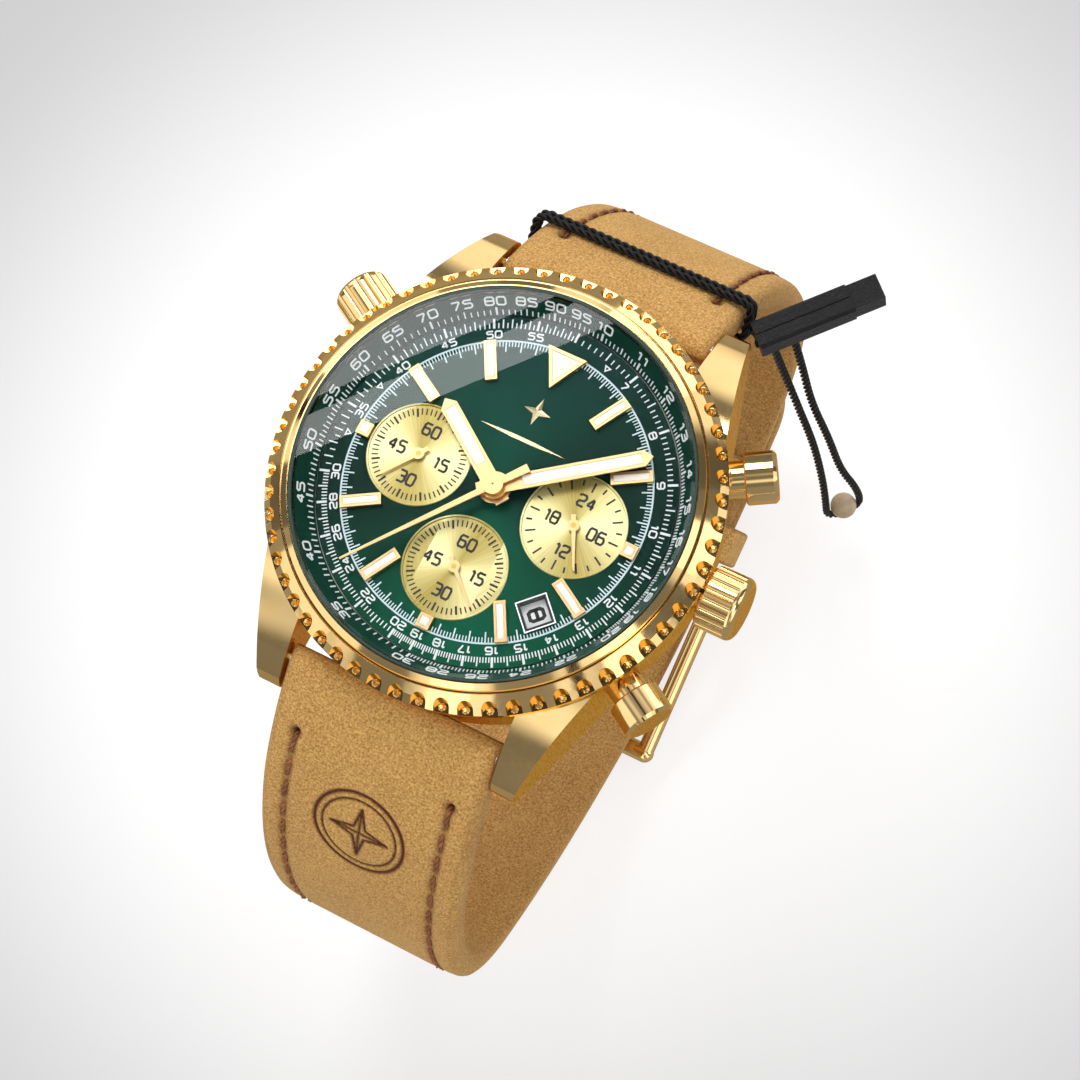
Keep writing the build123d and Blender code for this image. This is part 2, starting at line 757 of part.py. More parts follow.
def build_buttons():
    crown_tube = tube(crown_tube_radius, stem_radius + running_gap, tube_inner_end, crown_tube_end)
    tubes = [radial(crown_tube, 90.0, button_height)]
    for clock in pusher_clocks.values():
        sleeve = disc(pusher_neck_radius, tube_inner_end, pusher_neck_end)
        sleeve += disc(pusher_spigot_radius, pusher_neck_end, pusher_spigot_end)
        sleeve -= disc(pusher_stem_radius + running_gap, tube_inner_end, pusher_spigot_end)
        tubes.append(radial(sleeve, clock, button_height))
    rule_tube = tube(rule_tube_radius, rule_stem_radius + running_gap, tube_inner_end, rule_tube_end)
    tubes.append(radial(rule_tube, rule_crown_clock, rule_axis))
    save("case_tubes", *tubes)

    knob = disc(crown_radius, crown_inner, crown_outer)
    knob = fillet(knob.edges().group_by(Axis.Z)[-1], 0.7)
    knob = chamfer(knob.edges().group_by(Axis.Z)[0], 0.3)
    knob -= disc(crown_tube_radius + 0.3, crown_inner, crown_bore_end)
    knob -= disc(stem_radius, crown_inner, stem_outer)
    flute = disc(0.36, crown_inner - 1, crown_outer - 0.7, crown_radius + 0.14)
    knob -= [Rot(0, 0, 360.0 * n / crown_flutes) * flute for n in range(crown_flutes)]
    save("crown", radial(knob, 90.0, button_height))
    save("stem", radial(disc(stem_radius, stem_inner, stem_outer), 90.0, button_height))
    seal_start = crown_inner + 0.4
    seal = tube(crown_tube_radius + 0.28, crown_tube_radius + 0.02, seal_start, seal_start + 0.5)
    save("crown_gasket", radial(seal, 90.0, button_height))

    for name, clock in pusher_clocks.items():
        head = disc(pusher_head_radius, pusher_head_inner, pusher_head_outer)
        head = chamfer(head.edges().group_by(Axis.Z)[-1], 0.3)
        head = chamfer(head.edges().group_by(Axis.Z)[0], 0.15)
        head -= disc(pusher_neck_radius + running_gap, pusher_head_inner, pusher_bore_end)
        head += disc(pusher_stem_radius, pusher_stem_inner, pusher_bore_end)
        save(name, radial(head, clock, button_height))
        coil_length = pusher_bore_end - pusher_neck_end - pusher_travel - 0.35
        path = Helix(pitch=coil_length / 3, height=coil_length, radius=pusher_coil_radius)
        section = Plane(origin=path @ 0, z_dir=path % 0) * Circle(pusher_wire_radius)
        spring_start = pusher_bore_end - coil_length - pusher_wire_radius - 0.02
        spring = Pos(0, 0, spring_start) * sweep(section, path=path)
        save(name.replace("pusher", "pusher_spring"), radial(spring, clock, button_height))


def marker(width, length):
    """An applied marker at 12 o'clock, with a pocket for its luminous filling."""
    middle = marker_outer_radius - length / 2
    end_rim = marker_end_rim if length > width else marker_rim
    body = Pos(0, middle, dial_face) * Box(width, length, marker_height, align=BASE)
    pocket = Box(width - 2 * marker_rim, length - 2 * end_rim, marker_height, align=BASE)
    return body - Pos(0, middle, dial_face + marker_height - lume_depth) * pocket


def build_dial():
    dial = disc(dial_radius, dial_face - dial_thickness, dial_face)
    dial -= disc(hour_pipe_radius + 0.15, dial_face - 1, dial_face)
    window = Rot(0, 0, clock_angle(date_window_clock)) * Pos(date_window_radius, 0, dial_face)
    dial -= window * Box(date_window_width, date_window_width, 2.0)
    counters = []
    for clock in (90.0, 180.0, 270.0):
        x, y = polar(counter_offset, clock_angle(clock))
        low = dial_face - counter_recess
        dial -= disc(counter_radius, low, dial_face, x, y)
        dial -= disc(counter_hole_radius, dial_face - 1, dial_face, x, y)
        high = low + counter_disc_thickness
        counters.append(tube(counter_radius - 0.02, counter_hole_radius, low, high, x, y))
    save("dial", dial)
    save("counter_discs", *counters)

    side = date_window_width + 2 * date_frame_border
    frame = Box(side, side, 0.2, align=BASE) - Box(date_window_width, date_window_width, 0.2, align=BASE)
    save("date_frame", window * frame)

    markers = []
    for hour in (1, 2, 4, 5, 7, 8, 10, 11):
        markers.append(Rot(0, 0, -30.0 * hour) * marker(baton_width, baton_length))
    for hour in (3, 6, 9):
        markers.append(Rot(0, 0, -30.0 * hour) * marker(square_side, square_side))
    half = triangle_base / 2
    apex = (0, marker_outer_radius - triangle_length)
    points = [(-half, marker_outer_radius), (half, marker_outer_radius), apex]
    triangle = make_face(Polyline(*points, close=True))
    pocket = offset(triangle, amount=-triangle_rim, kind=Kind.INTERSECTION)
    body = Pos(0, 0, dial_face) * extrude(triangle, amount=marker_height)
    body -= Pos(0, 0, dial_face + marker_height - lume_depth) * extrude(pocket, amount=marker_height)
    markers.append(body)
    save("hour_markers", *markers)


def hand(points, low, thickness, hub_radius, bore, clock, hub_height=0.0):
    """A flat hand that points to 12 o'clock as drawn, turned to its time."""
    body = extrude(make_face(Polyline(*points, close=True)), amount=thickness)
    body += Cylinder(hub_radius, thickness + hub_height, align=BASE)
    body -= Cylinder(bore, thickness + hub_height, align=BASE)
    return Rot(0, 0, -clock) * Pos(0, 0, low) * body


def baton_hand(length, width, low, hub_radius, bore, clock):
    """A baton hand with a shallow pocket for its luminous filling."""
    half = width / 2
    neck = half * 0.8
    shoulder = length - hand_tip_length
    points = [(-neck, -1.6), (neck, -1.6), (half, 1.2), (half, shoulder), (0, length)]
    points += [(-half, shoulder), (-half, 1.2)]
    body = hand(points, low, hand_thickness, hub_radius, bore, 0.0)
    pocket_length = shoulder - 0.2 - hand_lume_start
    pocket_middle = hand_lume_start + pocket_length / 2
    pocket = Box(width - 2 * hand_rim, pocket_length, hand_thickness, align=BASE)
    pocket = Pos(0, pocket_middle, low + hand_thickness - hand_lume_depth) * pocket
    return Rot(0, 0, -clock) * (body - pocket)


def build_hands():
    hour = baton_hand(
        hour_hand_length, hour_hand_width, hour_hand_bottom, hour_hub_radius, hour_pipe_radius, hour_clock
    )
    save("hour_hand", hour)
    minute = baton_hand(
        minute_hand_length, minute_hand_width, minute_hand_bottom, minute_hub_radius, minute_pipe_radius,
        minute_clock,
    )
    save("minute_hand", minute)
    points = [(-0.4, -chrono_tail_length), (0.4, -chrono_tail_length), (0.3, 0), (0.09, chrono_hand_length)]
    points += [(-0.09, chrono_hand_length), (-0.3, 0)]
    low = chrono_hand_bottom
    sweep_hand = hand(
        points, low, chrono_hand_thickness, chrono_hub_radius, part_gap, chrono_clock, chrono_hub_height
    )
    sweep_hand += tube(chrono_hub_radius, arbor_radius, low - 0.1, low)
    sweep_hand -= disc(arbor_radius, low - 0.2, low + 0.2)
    save("chrono_hand", sweep_hand)
    for name, length, clock, place_clock in (
        ("seconds_hand", 4.0, 216.0, 270.0),
        ("counter_hand", 4.1, 131.4, 180.0),
        ("day_hand", 4.2, 152.5, 90.0),
    ):
        x, y = polar(counter_offset, clock_angle(place_clock))
        outline = [(-0.22, -1.0), (0.22, -1.0), (0.2, 0), (0.08, length), (-0.08, length), (-0.2, 0)]
        piece = hand(outline, small_hand_bottom, small_hand_thickness, 0.55, arbor_radius, clock)
        save(name, Pos(x, y, 0) * piece)


def arbor(low, high, place, radius=arbor_radius):
    return disc(radius, low, high, place[0], place[1])


def wheel(gears, low, high, place, radius=arbor_radius):
    """An arbor with its gears, each (teeth, module, bottom, phase)."""
    body = arbor(low, high, place, radius)
    for teeth, module, bottom, phase in gears:
        body += gear(teeth, module, bottom, place, phase)
    return body


def spoked(body, teeth, module, bottom, place, hub=0.9):
    return body - spokes(place, bottom, module * teeth / 2 - 1.8 * module - 0.15, hub)


def build_trains():
    low = bridge_top + 0.02
    under_plate = plate_bottom - 0.02
    center = (0.0, 0.0)
    seconds_place = (-counter_offset, 0.0)
    counter_place = (0.0, -counter_offset)
    day_place = (counter_offset, 0.0)

    # time train: centre wheel 64 to pinion 8, third wheel 60 to pinion 8
    third_place = meeting_point(center, 36 * train_module, seconds_place, 34 * train_module, -1)
    third_pinion_phase = meshing_phase(center, 64, 0.0, third_place, 8)
    seconds_pinion_phase = meshing_phase(third_place, 60, 0.0, seconds_place, 8)
    motion_place = polar(24 * coarse, 100.0)
    cannon_phase = 0.0
    motion_phase = meshing_phase(center, 12, cannon_phase, motion_place, 36)
    hour_phase = meshing_phase(motion_place, 12, 0.0, center, 48)

    center_wheel = disc(minute_pipe_radius, layer_center, minute_hand_bottom + hand_thickness + 0.05)
    center_wheel += gear(64, train_module, layer_center)
    center_wheel += gear(12, coarse, layer_cannon, phase=cannon_phase)
    center_wheel -= disc(minute_pipe_bore, layer_center - 1, chrono_hand_bottom)
    save("center_wheel", spoked(center_wheel, 64, train_module, layer_center, center, 1.2))

    third_gears = [
        (8, train_module, layer_center, third_pinion_phase), (60, train_module, layer_third, 0.0),
    ]
    third = wheel(third_gears, low, under_plate, third_place)
    save("third_wheel", spoked(third, 60, train_module, layer_third, third_place))

    # step motor: rotor pinion 8 to 60, pinion 8 to the seconds wheel 32
    fifth_place = (
        seconds_place[0] + 20 * fine * cos(radians(240.0)),
        seconds_place[1] + 20 * fine * sin(radians(240.0)),
    )
    rotor_place = (
        fifth_place[0] + 34 * finest * cos(radians(-60.0)),
        fifth_place[1] + 34 * finest * sin(radians(-60.0)),
    )
    fifth_pinion_phase = meshing_phase(seconds_place, 32, 0.0, fifth_place, 8)
    rotor_phase = meshing_phase(fifth_place, 60, 0.0, rotor_place, 8)
    hand_top = small_hand_bottom + small_hand_thickness
    seconds_gears = [(8, train_module, layer_third, seconds_pinion_phase), (32, fine, layer_fast, 0.0)]
    save("seconds_wheel", wheel(seconds_gears, low, hand_top, seconds_place))
    fifth = wheel(
        [(8, fine, layer_fast, fifth_pinion_phase), (60, finest, layer_counter, 0.0)],
        low, under_plate, fifth_place, small_arbor_radius,
    )
    save("fifth_wheel", fifth)
    stator_top = stator_bottom + stator_thickness
    rotor_gears = [(8, finest, layer_counter, rotor_phase)]
    rotor = wheel(rotor_gears, low, under_plate, rotor_place, small_arbor_radius)
    rotor += disc(magnet_radius, stator_bottom, stator_top + 0.1, *rotor_place)
    save("rotor", rotor)

    # under the dial: cannon pinion 12 to 36, pinion 12 to hour wheel 48, then 20, 23 and 40 to the day hand
    motion = wheel(
        [(36, coarse, layer_cannon, motion_phase), (12, fine, layer_hour, 0.0)],
        plate_top + 0.02, layer_hour + wheel_thickness, motion_place,
    )
    save("motion_wheel", motion)
    idler_place = ((20 + 23) * coarse / 2, 0.0)
    idler_phase = meshing_phase(center, 20, 0.0, idler_place, 23)
    day_phase = meshing_phase(idler_place, 23, idler_phase, day_place, 40)
    hour = disc(hour_pipe_radius, layer_hour, hour_hand_bottom + hand_thickness + 0.05)
    hour += gear(48, fine, layer_hour, phase=hour_phase)
    hour += gear(20, coarse, layer_day)
    hour -= disc(hour_pipe_bore, layer_hour - 1, minute_hand_bottom)
    save("hour_wheel", hour)
    layer_day_top = layer_day + wheel_thickness
    idler_gears = [(23, coarse, layer_day, idler_phase)]
    idler = wheel(idler_gears, plate_top + 0.02, layer_day_top, idler_place, small_arbor_radius)
    save("day_idler", idler)
    day = wheel([(40, coarse, layer_day, day_phase)], plate_top + 0.02, hand_top, day_place)
    save("day_wheel", day)

    # chronograph: pinion 8 to 60, pinion 8 to the minute counter wheel 64, with a step motor of its own
    chrono_place = meeting_point(center, 34 * coarse, counter_place, 36 * counter_module, 1)
    chrono_wheel_phase = meshing_phase(center, 8, 0.0, chrono_place, 60)
    counter_phase = meshing_phase(chrono_place, 8, 0.0, counter_place, 64)
    chrono_idler_place = polar(20 * fine, 20.0)
    chrono_rotor_place = polar(20 * fine + 34 * finest, 20.0)
    idler_pinion_phase = meshing_phase(center, 32, 0.0, chrono_idler_place, 8)
    chrono_rotor_phase = meshing_phase(chrono_idler_place, 60, 0.0, chrono_rotor_place, 8)
    spindle = wheel(
        [(8, coarse, layer_fast, 0.0), (32, fine, layer_counter, 0.0)],
        low, chrono_hand_bottom + 0.15, center,
    )
    save("chrono_spindle", spindle)
    chrono_gears = [(60, coarse, layer_fast, chrono_wheel_phase), (8, counter_module, layer_counter, 0.0)]
    chrono = wheel(chrono_gears, low, layer_fast + wheel_thickness, chrono_place)
    save("chrono_wheel", spoked(chrono, 60, coarse, layer_fast, chrono_place))
    counter = wheel([(64, counter_module, layer_counter, counter_phase)], low, hand_top, counter_place)
    save("counter_wheel", spoked(counter, 64, counter_module, layer_counter, counter_place))
    idler = wheel(
        [(8, fine, layer_counter, idler_pinion_phase), (60, finest, layer_chrono_idler, 0.0)],
        low, layer_counter + wheel_thickness, chrono_idler_place, small_arbor_radius,
    )
    save("chrono_idler", idler)
    spin = wheel(
        [(8, finest, layer_chrono_idler, chrono_rotor_phase)],
        low, layer_chrono_idler + wheel_thickness, chrono_rotor_place, small_arbor_radius,
    )
    spin += disc(magnet_radius, stator_bottom, stator_top, *chrono_rotor_place)
    save("chrono_rotor", spin)

    motors = (
        (rotor_place, (-12.2, -5.2), (-6.2, -11.8), (-11.0, -3.9), (-6.6, -8.0)),
        (chrono_rotor_place, (10.9, -6.0), (6.4, -11.4), (9.6, -1.0), (5.6, -5.4)),
    )
    stators = []
    coils = []
    for place, first, last, first_knee, last_knee in motors:
        plate = disc(1.5, stator_bottom, stator_top, *place)
        for knee, end in ((first_knee, first), (last_knee, last)):
            for start, stop in ((place, knee), (knee, end)):
                plate += strip(start, stop, 1.3, stator_bottom, stator_top)
                plate += disc(0.65, stator_bottom, stator_top, *stop)
        plate -= disc(magnet_radius + 0.15, stator_bottom, stator_top, *place)
        stators.append(plate)
        direction = Vector(last[0] - first[0], last[1] - first[1], 0).normalized()
        winding_start = (first[0] + 0.9 * direction.X, first[1] + 0.9 * direction.Y, coil_height)
        winding_end = (last[0] - 0.9 * direction.X, last[1] - 0.9 * direction.Y, coil_height)
        coil = between(winding_start, winding_end, coil_radius)
        coil += between((*first, coil_height), (*last, coil_height), 0.4)
        for end in (first, last):
            post_height = coil_height + 0.5 - stator_top
            coil += Pos(end[0], end[1], stator_top) * Box(1.1, 1.1, post_height, align=BASE)
        coils.append(coil)
    save("stators", *stators)
    save("coils", *coils)


def strip(start, end, width, low, high):
    """A flat bar between two places."""
    length = hypot(end[0] - start[0], end[1] - start[1])
    angle = degrees(atan2(end[1] - start[1], end[0] - start[0]))
    bar = Pos(length / 2, 0, 0) * Box(length, width, high - low, align=BASE)
    return Pos(start[0], start[1], low) * Rot(0, 0, angle) * bar


def button_cuts(clearance):
    outer = cavity_radius + 1
    cuts = [radial(disc(stem_radius + clearance, stem_inner - 0.4, outer), 90.0, button_height)]
    for clock in pusher_clocks.values():
        inner = pusher_stem_inner - pusher_travel - 0.2
        cuts.append(radial(disc(pusher_stem_radius + clearance, inner, outer), clock, button_height))
    return cuts


def build_movement():
    dial_underside = dial_face - dial_thickness
    holder = tube(cavity_radius - part_gap, movement_radius + running_gap, holder_bottom, dial_underside)
    for cut in button_cuts(0.15):
        holder -= cut
    save("movement_ring", holder)

    plate = disc(movement_radius, plate_bottom, plate_top)
    plate -= disc(minute_pipe_radius + 0.15, 5, 7)
    plate -= disc(arbor_radius + 0.1, 5, 7, -counter_offset, 0)
    plate -= disc(arbor_radius + 0.1, 5, 7, 0, -counter_offset)
    for cut in button_cuts(0.15):
        plate -= cut
    screw_places = [polar(13.9, angle) for angle in (10.0, 130.0, 172.0, -90.0)]
    for x, y in screw_places:
        plate -= disc(0.4, plate_bottom, plate_bottom + 0.7, x, y)
    save("main_plate", plate)

    bridge = disc(movement_radius, bridge_bottom, bridge_top)
    bridge -= disc(battery_radius + part_gap, 2, 4, *battery_place)
    for x, y in screw_places:
        bridge -= disc(0.4, 2, 4, x, y)
    pillars = []
    for x, y in screw_places:
        pillars.append(tube(0.8, 0.4, bridge_top, plate_bottom, x, y))
    for pillar in pillars:
        bridge += pillar
    save("train_bridge", bridge)
    screws = []
    for x, y in screw_places:
        screw = disc(0.85, bridge_bottom - 0.35, bridge_bottom, x, y)
        screw += disc(0.4, bridge_bottom, plate_bottom + 0.7, x, y)
        screw -= Pos(x, y, bridge_bottom - 0.35) * Box(1.8, 0.2, 0.3)
        screws.append(screw)
    save("bridge_screws", *screws)

    x, y = battery_place
    cell = disc(battery_radius, bridge_bottom, bridge_bottom + battery_height, x, y)
    cell = chamfer(cell.edges().group_by(Axis.Z)[0], 0.3)
    save("battery", cell)

    board = disc(movement_radius - 0.6, board_bottom, board_bottom + board_thickness)
    board &= Pos(0, -10.3, 2.5) * Box(40, 20, 2)
    for x, y in screw_places:
        board -= disc(1.2, 2, 3, x, y)
    save("circuit_board", board)

    ring = tube(date_ring_outer, date_ring_inner, date_ring_bottom, date_ring_bottom + date_ring_thickness)
    notch = disc(0.35, 7, 8, date_ring_inner)
    ring -= [Rot(0, 0, 360.0 * n / 31) * notch for n in range(31)]
    save("date_ring", ring)


build_case()
build_bezel()
build_rule_ring()
build_buttons()
build_dial()
build_hands()
build_trains()
build_movement()
build_straps()
build_buckle()
build_tag()
print(len(saved), "nodes")
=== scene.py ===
from math import atan2, ceil, cos, degrees, exp, hypot, log10, pi, radians, sin, sqrt, tan

import bmesh
import bpy
from mathutils import Matrix, Vector


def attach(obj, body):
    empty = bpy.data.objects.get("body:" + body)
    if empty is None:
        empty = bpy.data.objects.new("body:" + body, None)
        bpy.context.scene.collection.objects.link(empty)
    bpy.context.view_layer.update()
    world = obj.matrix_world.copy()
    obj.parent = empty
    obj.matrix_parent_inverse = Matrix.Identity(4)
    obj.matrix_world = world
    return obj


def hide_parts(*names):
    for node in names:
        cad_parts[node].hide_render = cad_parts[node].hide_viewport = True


# A gold and green chronograph on a nubuck strap. Lengths are in millimetres and become metres where a
# mesh, a light or the camera is made. +X is 3 o'clock, +Y is 12 o'clock and +Z runs out of the crystal.
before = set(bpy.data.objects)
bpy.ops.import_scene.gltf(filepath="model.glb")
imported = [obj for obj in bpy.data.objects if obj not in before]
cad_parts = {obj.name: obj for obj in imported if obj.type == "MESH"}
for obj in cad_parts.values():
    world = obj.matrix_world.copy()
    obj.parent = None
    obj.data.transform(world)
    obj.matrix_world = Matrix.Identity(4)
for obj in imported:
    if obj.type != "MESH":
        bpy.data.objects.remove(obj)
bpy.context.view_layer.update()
MM = 0.001


# ---------------------------------------------------------------- camera

def set_camera():
    """A long lens above and to the lower right of the dial, turned so that 12 o'clock leans right."""
    back = Vector((0.2537, -0.1898, 0.9485)).normalized()
    right = Vector((0.8764, 0.4601, -0.1423))
    right = (right - back * right.dot(back)).normalized()
    up = back.cross(right)
    camera = bpy.data.objects.new("camera", bpy.data.cameras.new("camera"))
    camera.data.lens = 93.6
    camera.data.sensor_width = 36.0
    camera.data.clip_start = 0.01
    camera.data.clip_end = 20.0
    place = Matrix((right, up, back)).transposed().to_4x4()
    place.translation = Vector((69.1, -49.8, 244.7)) * MM
    camera.matrix_world = place
    bpy.context.scene.collection.objects.link(camera)
    bpy.context.scene.camera = camera


set_camera()
bpy.context.scene.view_settings.view_transform = "Standard"


# ---------------------------------------------------------------- dimensions that the pieces share

DIAL = 8.0
PRINT = 0.02
CONE_PRINT = 3.0  # times as thick on the cone, which is made of short flats
COUNTER_OFFSET = 7.95
COUNTER_FACE = 7.95
CONE_FOOT = (16.62, 8.02)
CONE_TOP = (18.0, 10.05)
MARKER_OUTER = 14.2
MARKER_TOP = 8.45
HOUR_CLOCK = 304.5
MINUTE_CLOCK = 54.0
DATE_CLOCK = 135.0
DATE_SHOWN = 8
DATE_RADIUS = 12.15

ARCH_CENTER = (0.0, -27.0)
ARCH_RADIUS = 38.5
STRAP_THICKNESS = 2.8
CORNER_Y = 24.5
CORNER_RADIUS = 14.0
CORNER_SWEEP = 65.0
LAYER_GAP = 0.3
BUCKLE_ANGLE = -82.8
CROSSOVER_ANGLE = -84.0
SPRING_BAR_ANGLE = 55.5

CORD_RADIUS = 0.425
CORD_ROUTE = [
    (13.9, 25.9, -1.3),
    (14.5, 26.1, -8.5),
    (15.9, 25.7, -17.5),
    (17.1, 25.6, -27.0),
    (17.9, 25.0, -35.5),
    (18.3, 24.4, -41.5),
    (18.25, 24.2, -47.2),
    (20.95, 27.2, -47.2),
    (20.6, 27.1, -41.5),
    (19.2, 26.6, -35.5),
    (18.2, 26.8, -27.0),
    (16.8, 26.7, -17.5),
    (15.9, 27.4, -8.5),
    (15.3, 27.5, -1.3),
]


# ---------------------------------------------------------------- meshes

class Solid:
    """The points, in millimetres, and faces of one piece."""

    def __init__(self):
        self.points = []
        self.faces = []

    def add(self, points, faces):
        start = len(self.points)
        self.points += [tuple(point) for point in points]
        self.faces += [[start + index for index in face] for face in faces]

    def rings(self, rings, closed=False):
        """Skins rings of equally many points, and closes both ends unless the last ring meets the first."""
        count = len(rings[0])
        faces = []
        last = len(rings) if closed else len(rings) - 1
        for row in range(last):
            following = (row + 1) % len(rings)
            for n in range(count):
                after = (n + 1) % count
                near = row * count
                far = following * count
                faces.append([near + n, near + after, far + after, far + n])
        if not closed:
            faces.append(list(range(count)))
            faces.append([(len(rings) - 1) * count + n for n in reversed(range(count))])
        self.add([point for ring in rings for point in ring], faces)


def solid_mesh(name, solid):
    """A mesh of a closed solid, in metres, with every face turned outwards."""
    mesh = bpy.data.meshes.new(name)
    mesh.from_pydata([Vector(point) * MM for point in solid.points], [], solid.faces)
    shape = bmesh.new()
    shape.from_mesh(mesh)
    bmesh.ops.recalc_face_normals(shape, faces=shape.faces)
    if shape.calc_volume(signed=True) < 0.0:
        bmesh.ops.reverse_faces(shape, faces=shape.faces)
    shape.to_mesh(mesh)
    shape.free()
    return mesh


def make_piece(name, solid, material, body, smooth=False):
    """A visible piece of one closed solid, which rides on a CAD body."""
    mesh = solid_mesh(name, solid)
    mesh.materials.append(material)
    if smooth:
        mesh.polygons.foreach_set("use_smooth", [True] * len(mesh.polygons))
        mesh.set_sharp_from_angle(angle=radians(50))
    piece = bpy.data.objects.new(name, mesh)
    bpy.context.scene.collection.objects.link(piece)
    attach(piece, body)
    return piece


def polar(radius, clock):
    """A point at a clock angle, clockwise from 12 o'clock."""
    return radius * sin(radians(clock)), radius * cos(radians(clock))


def ring_place(clock, start=(0.0, DIAL), slope=(1.0, 0.0), thickness=1.0):
    """Lays a print on a ring: x to the right of the clock direction, y out along the ring's slope."""

    def place(x, y, lift):
        lift *= thickness
        radius = start[0] + y * slope[0] - lift * slope[1]
        level = start[1] + y * slope[1] + lift * slope[0]
        angle = radians(90.0 - clock) - x / radius
        return radius * cos(angle), radius * sin(angle), level

    return place


def flat_place(x0, y0, level, turn=0.0):
    """Lays a print or filling on a level face, its up direction turned clockwise from 12 o'clock."""
    right = (cos(radians(turn)), -sin(radians(turn)))
    up = (sin(radians(turn)), cos(radians(turn)))

    def place(x, y, lift):
        return x0 + x * right[0] + y * up[0], y0 + x * right[1] + y * up[1], level + lift

    return place


def stroke(solid, line, width, place, lift=PRINT):
    """A bar of even width along a line. A line that ends where it began is a loop."""
    closed = len(line) > 2 and line[0] == line[-1]
    points = line[:-1] if closed else line
    count = len(points)
    rings = []
    for n, (x, y) in enumerate(points):
        normals = []
        for a, b in ((n - 1, n), (n, n + 1)):
            if closed or 0 <= a and b < count:
                dx = points[b % count][0] - points[a % count][0]
                dy = points[b % count][1] - points[a % count][1]
                length = hypot(dx, dy)
                normals.append((-dy / length, dx / length))
        nx = sum(normal[0] for normal in normals)
        ny = sum(normal[1] for normal in normals)
        size = nx * nx + ny * ny
        reach = width / 2 * min(len(normals) / size, 2.5)
        rings.append([
            place(x + nx * reach, y + ny * reach, lift),
            place(x - nx * reach, y - ny * reach, lift),
            place(x - nx * reach, y - ny * reach, -0.01),
            place(x + nx * reach, y + ny * reach, -0.01),
        ])
    solid.rings(rings, closed)


def rounded(line, cut):
    """Takes the corners off a line."""
    closed = line[0] == line[-1]
    points = line[:-1] if closed else line
    made = []
    for n, corner in enumerate(points):
        if not closed and n in (0, len(points) - 1):
            made.append(corner)
            continue
        for other in (points[n - 1], points[(n + 1) % len(points)]):
            dx = other[0] - corner[0]
            dy = other[1] - corner[1]
            length = hypot(dx, dy)
            part = min(cut, 0.45 * length) / length
            made.append((corner[0] + dx * part, corner[1] + dy * part))
    if closed:
        made.append(made[0])
    return made


# numerals on a grid 4 wide and 4 high, drawn as strokes
NUMERALS = {
    "0": [[(0, 0), (4, 0), (4, 4), (0, 4), (0, 0)]],
    "1": [[(0.6, 3.2), (2, 4), (2, 0)]],
    "2": [[(0, 3.3), (0, 4), (4, 4), (4, 2.1), (0, 1.6), (0, 0), (4, 0)]],
    "3": [[(0, 4), (4, 4), (4, 0), (0, 0)], [(1.2, 2.1), (4, 2.1)]],
    "4": [[(3, 0), (3, 4), (0, 1.2), (4, 1.2)]],
    "5": [[(4, 4), (0, 4), (0, 2.3), (4, 2.3), (4, 0), (0, 0)]],
    "6": [[(4, 4), (0, 4), (0, 0), (4, 0), (4, 2.3), (0, 2.3)]],
    "7": [[(0, 4), (4, 4), (1.4, 0)]],
    "8": [[(0, 0), (4, 0), (4, 4), (0, 4), (0, 0)], [(0, 2.1), (4, 2.1)]],
    "9": [[(0, 0), (4, 0), (4, 4), (0, 4), (0, 1.8), (4, 1.8)]],
}
NARROW = {"1": 2.6}


def write(solid, text, place, middle, height, aspect=0.85, weight=0.17):
    """Writes a number in strokes, centred on x = 0 and y = middle."""
    gap = 1.5
    widths = [NARROW.get(character, 4.0) for character in text]
    total = sum(widths) + gap * (len(text) - 1)
    inner = height * (1 - weight)
    cursor = -total / 2
    for character, width in zip(text, widths):
        for line in NUMERALS[character]:
            soft = rounded(line, 0.7)
            drawn = [
                ((cursor + x) / 4 * inner * aspect, middle + (y - 2) / 4 * inner)
                for x, y in soft
            ]
            stroke(solid, drawn, height * weight, place)
        cursor += width + gap


def filling(solid, outline, place, depth, proud=0.012, inset=0.07):
    """A poured filling: an upright wall just clear of its pocket, and a slightly crowned top."""
    cx = sum(x for x, _ in outline) / len(outline)
    cy = sum(y for _, y in outline) / len(outline)

    def shrunk(by):
        ring = []
        for x, y in outline:
            dx = cx - x
            dy = cy - y
            ring.append((x + max(-by, min(by, dx)), y + max(-by, min(by, dy))))
        return ring

    rings = [
        [place(x, y, -depth) for x, y in shrunk(0.02)],
        [place(x, y, -0.045) for x, y in shrunk(0.02)],
        [place(x, y, -0.015) for x, y in shrunk(inset * 0.7)],
        [place(x, y, proud) for x, y in shrunk(inset * 1.6)],
    ]
    solid.rings(rings)


def rectangle(x0, x1, y0, y1):
    return [(x0, y0), (x1, y0), (x1, y1), (x0, y1)]


# ---------------------------------------------------------------- shader nodes

def linear(red, green, blue):
    """A display colour, 0 to 255, as the linear colour that shaders use."""
    made = []
    for value in (red, green, blue):
        share = value / 255
        made.append(share / 12.92 if share <= 0.04045 else ((share + 0.055) / 1.055) ** 2.4)
    return (*made, 1.0)


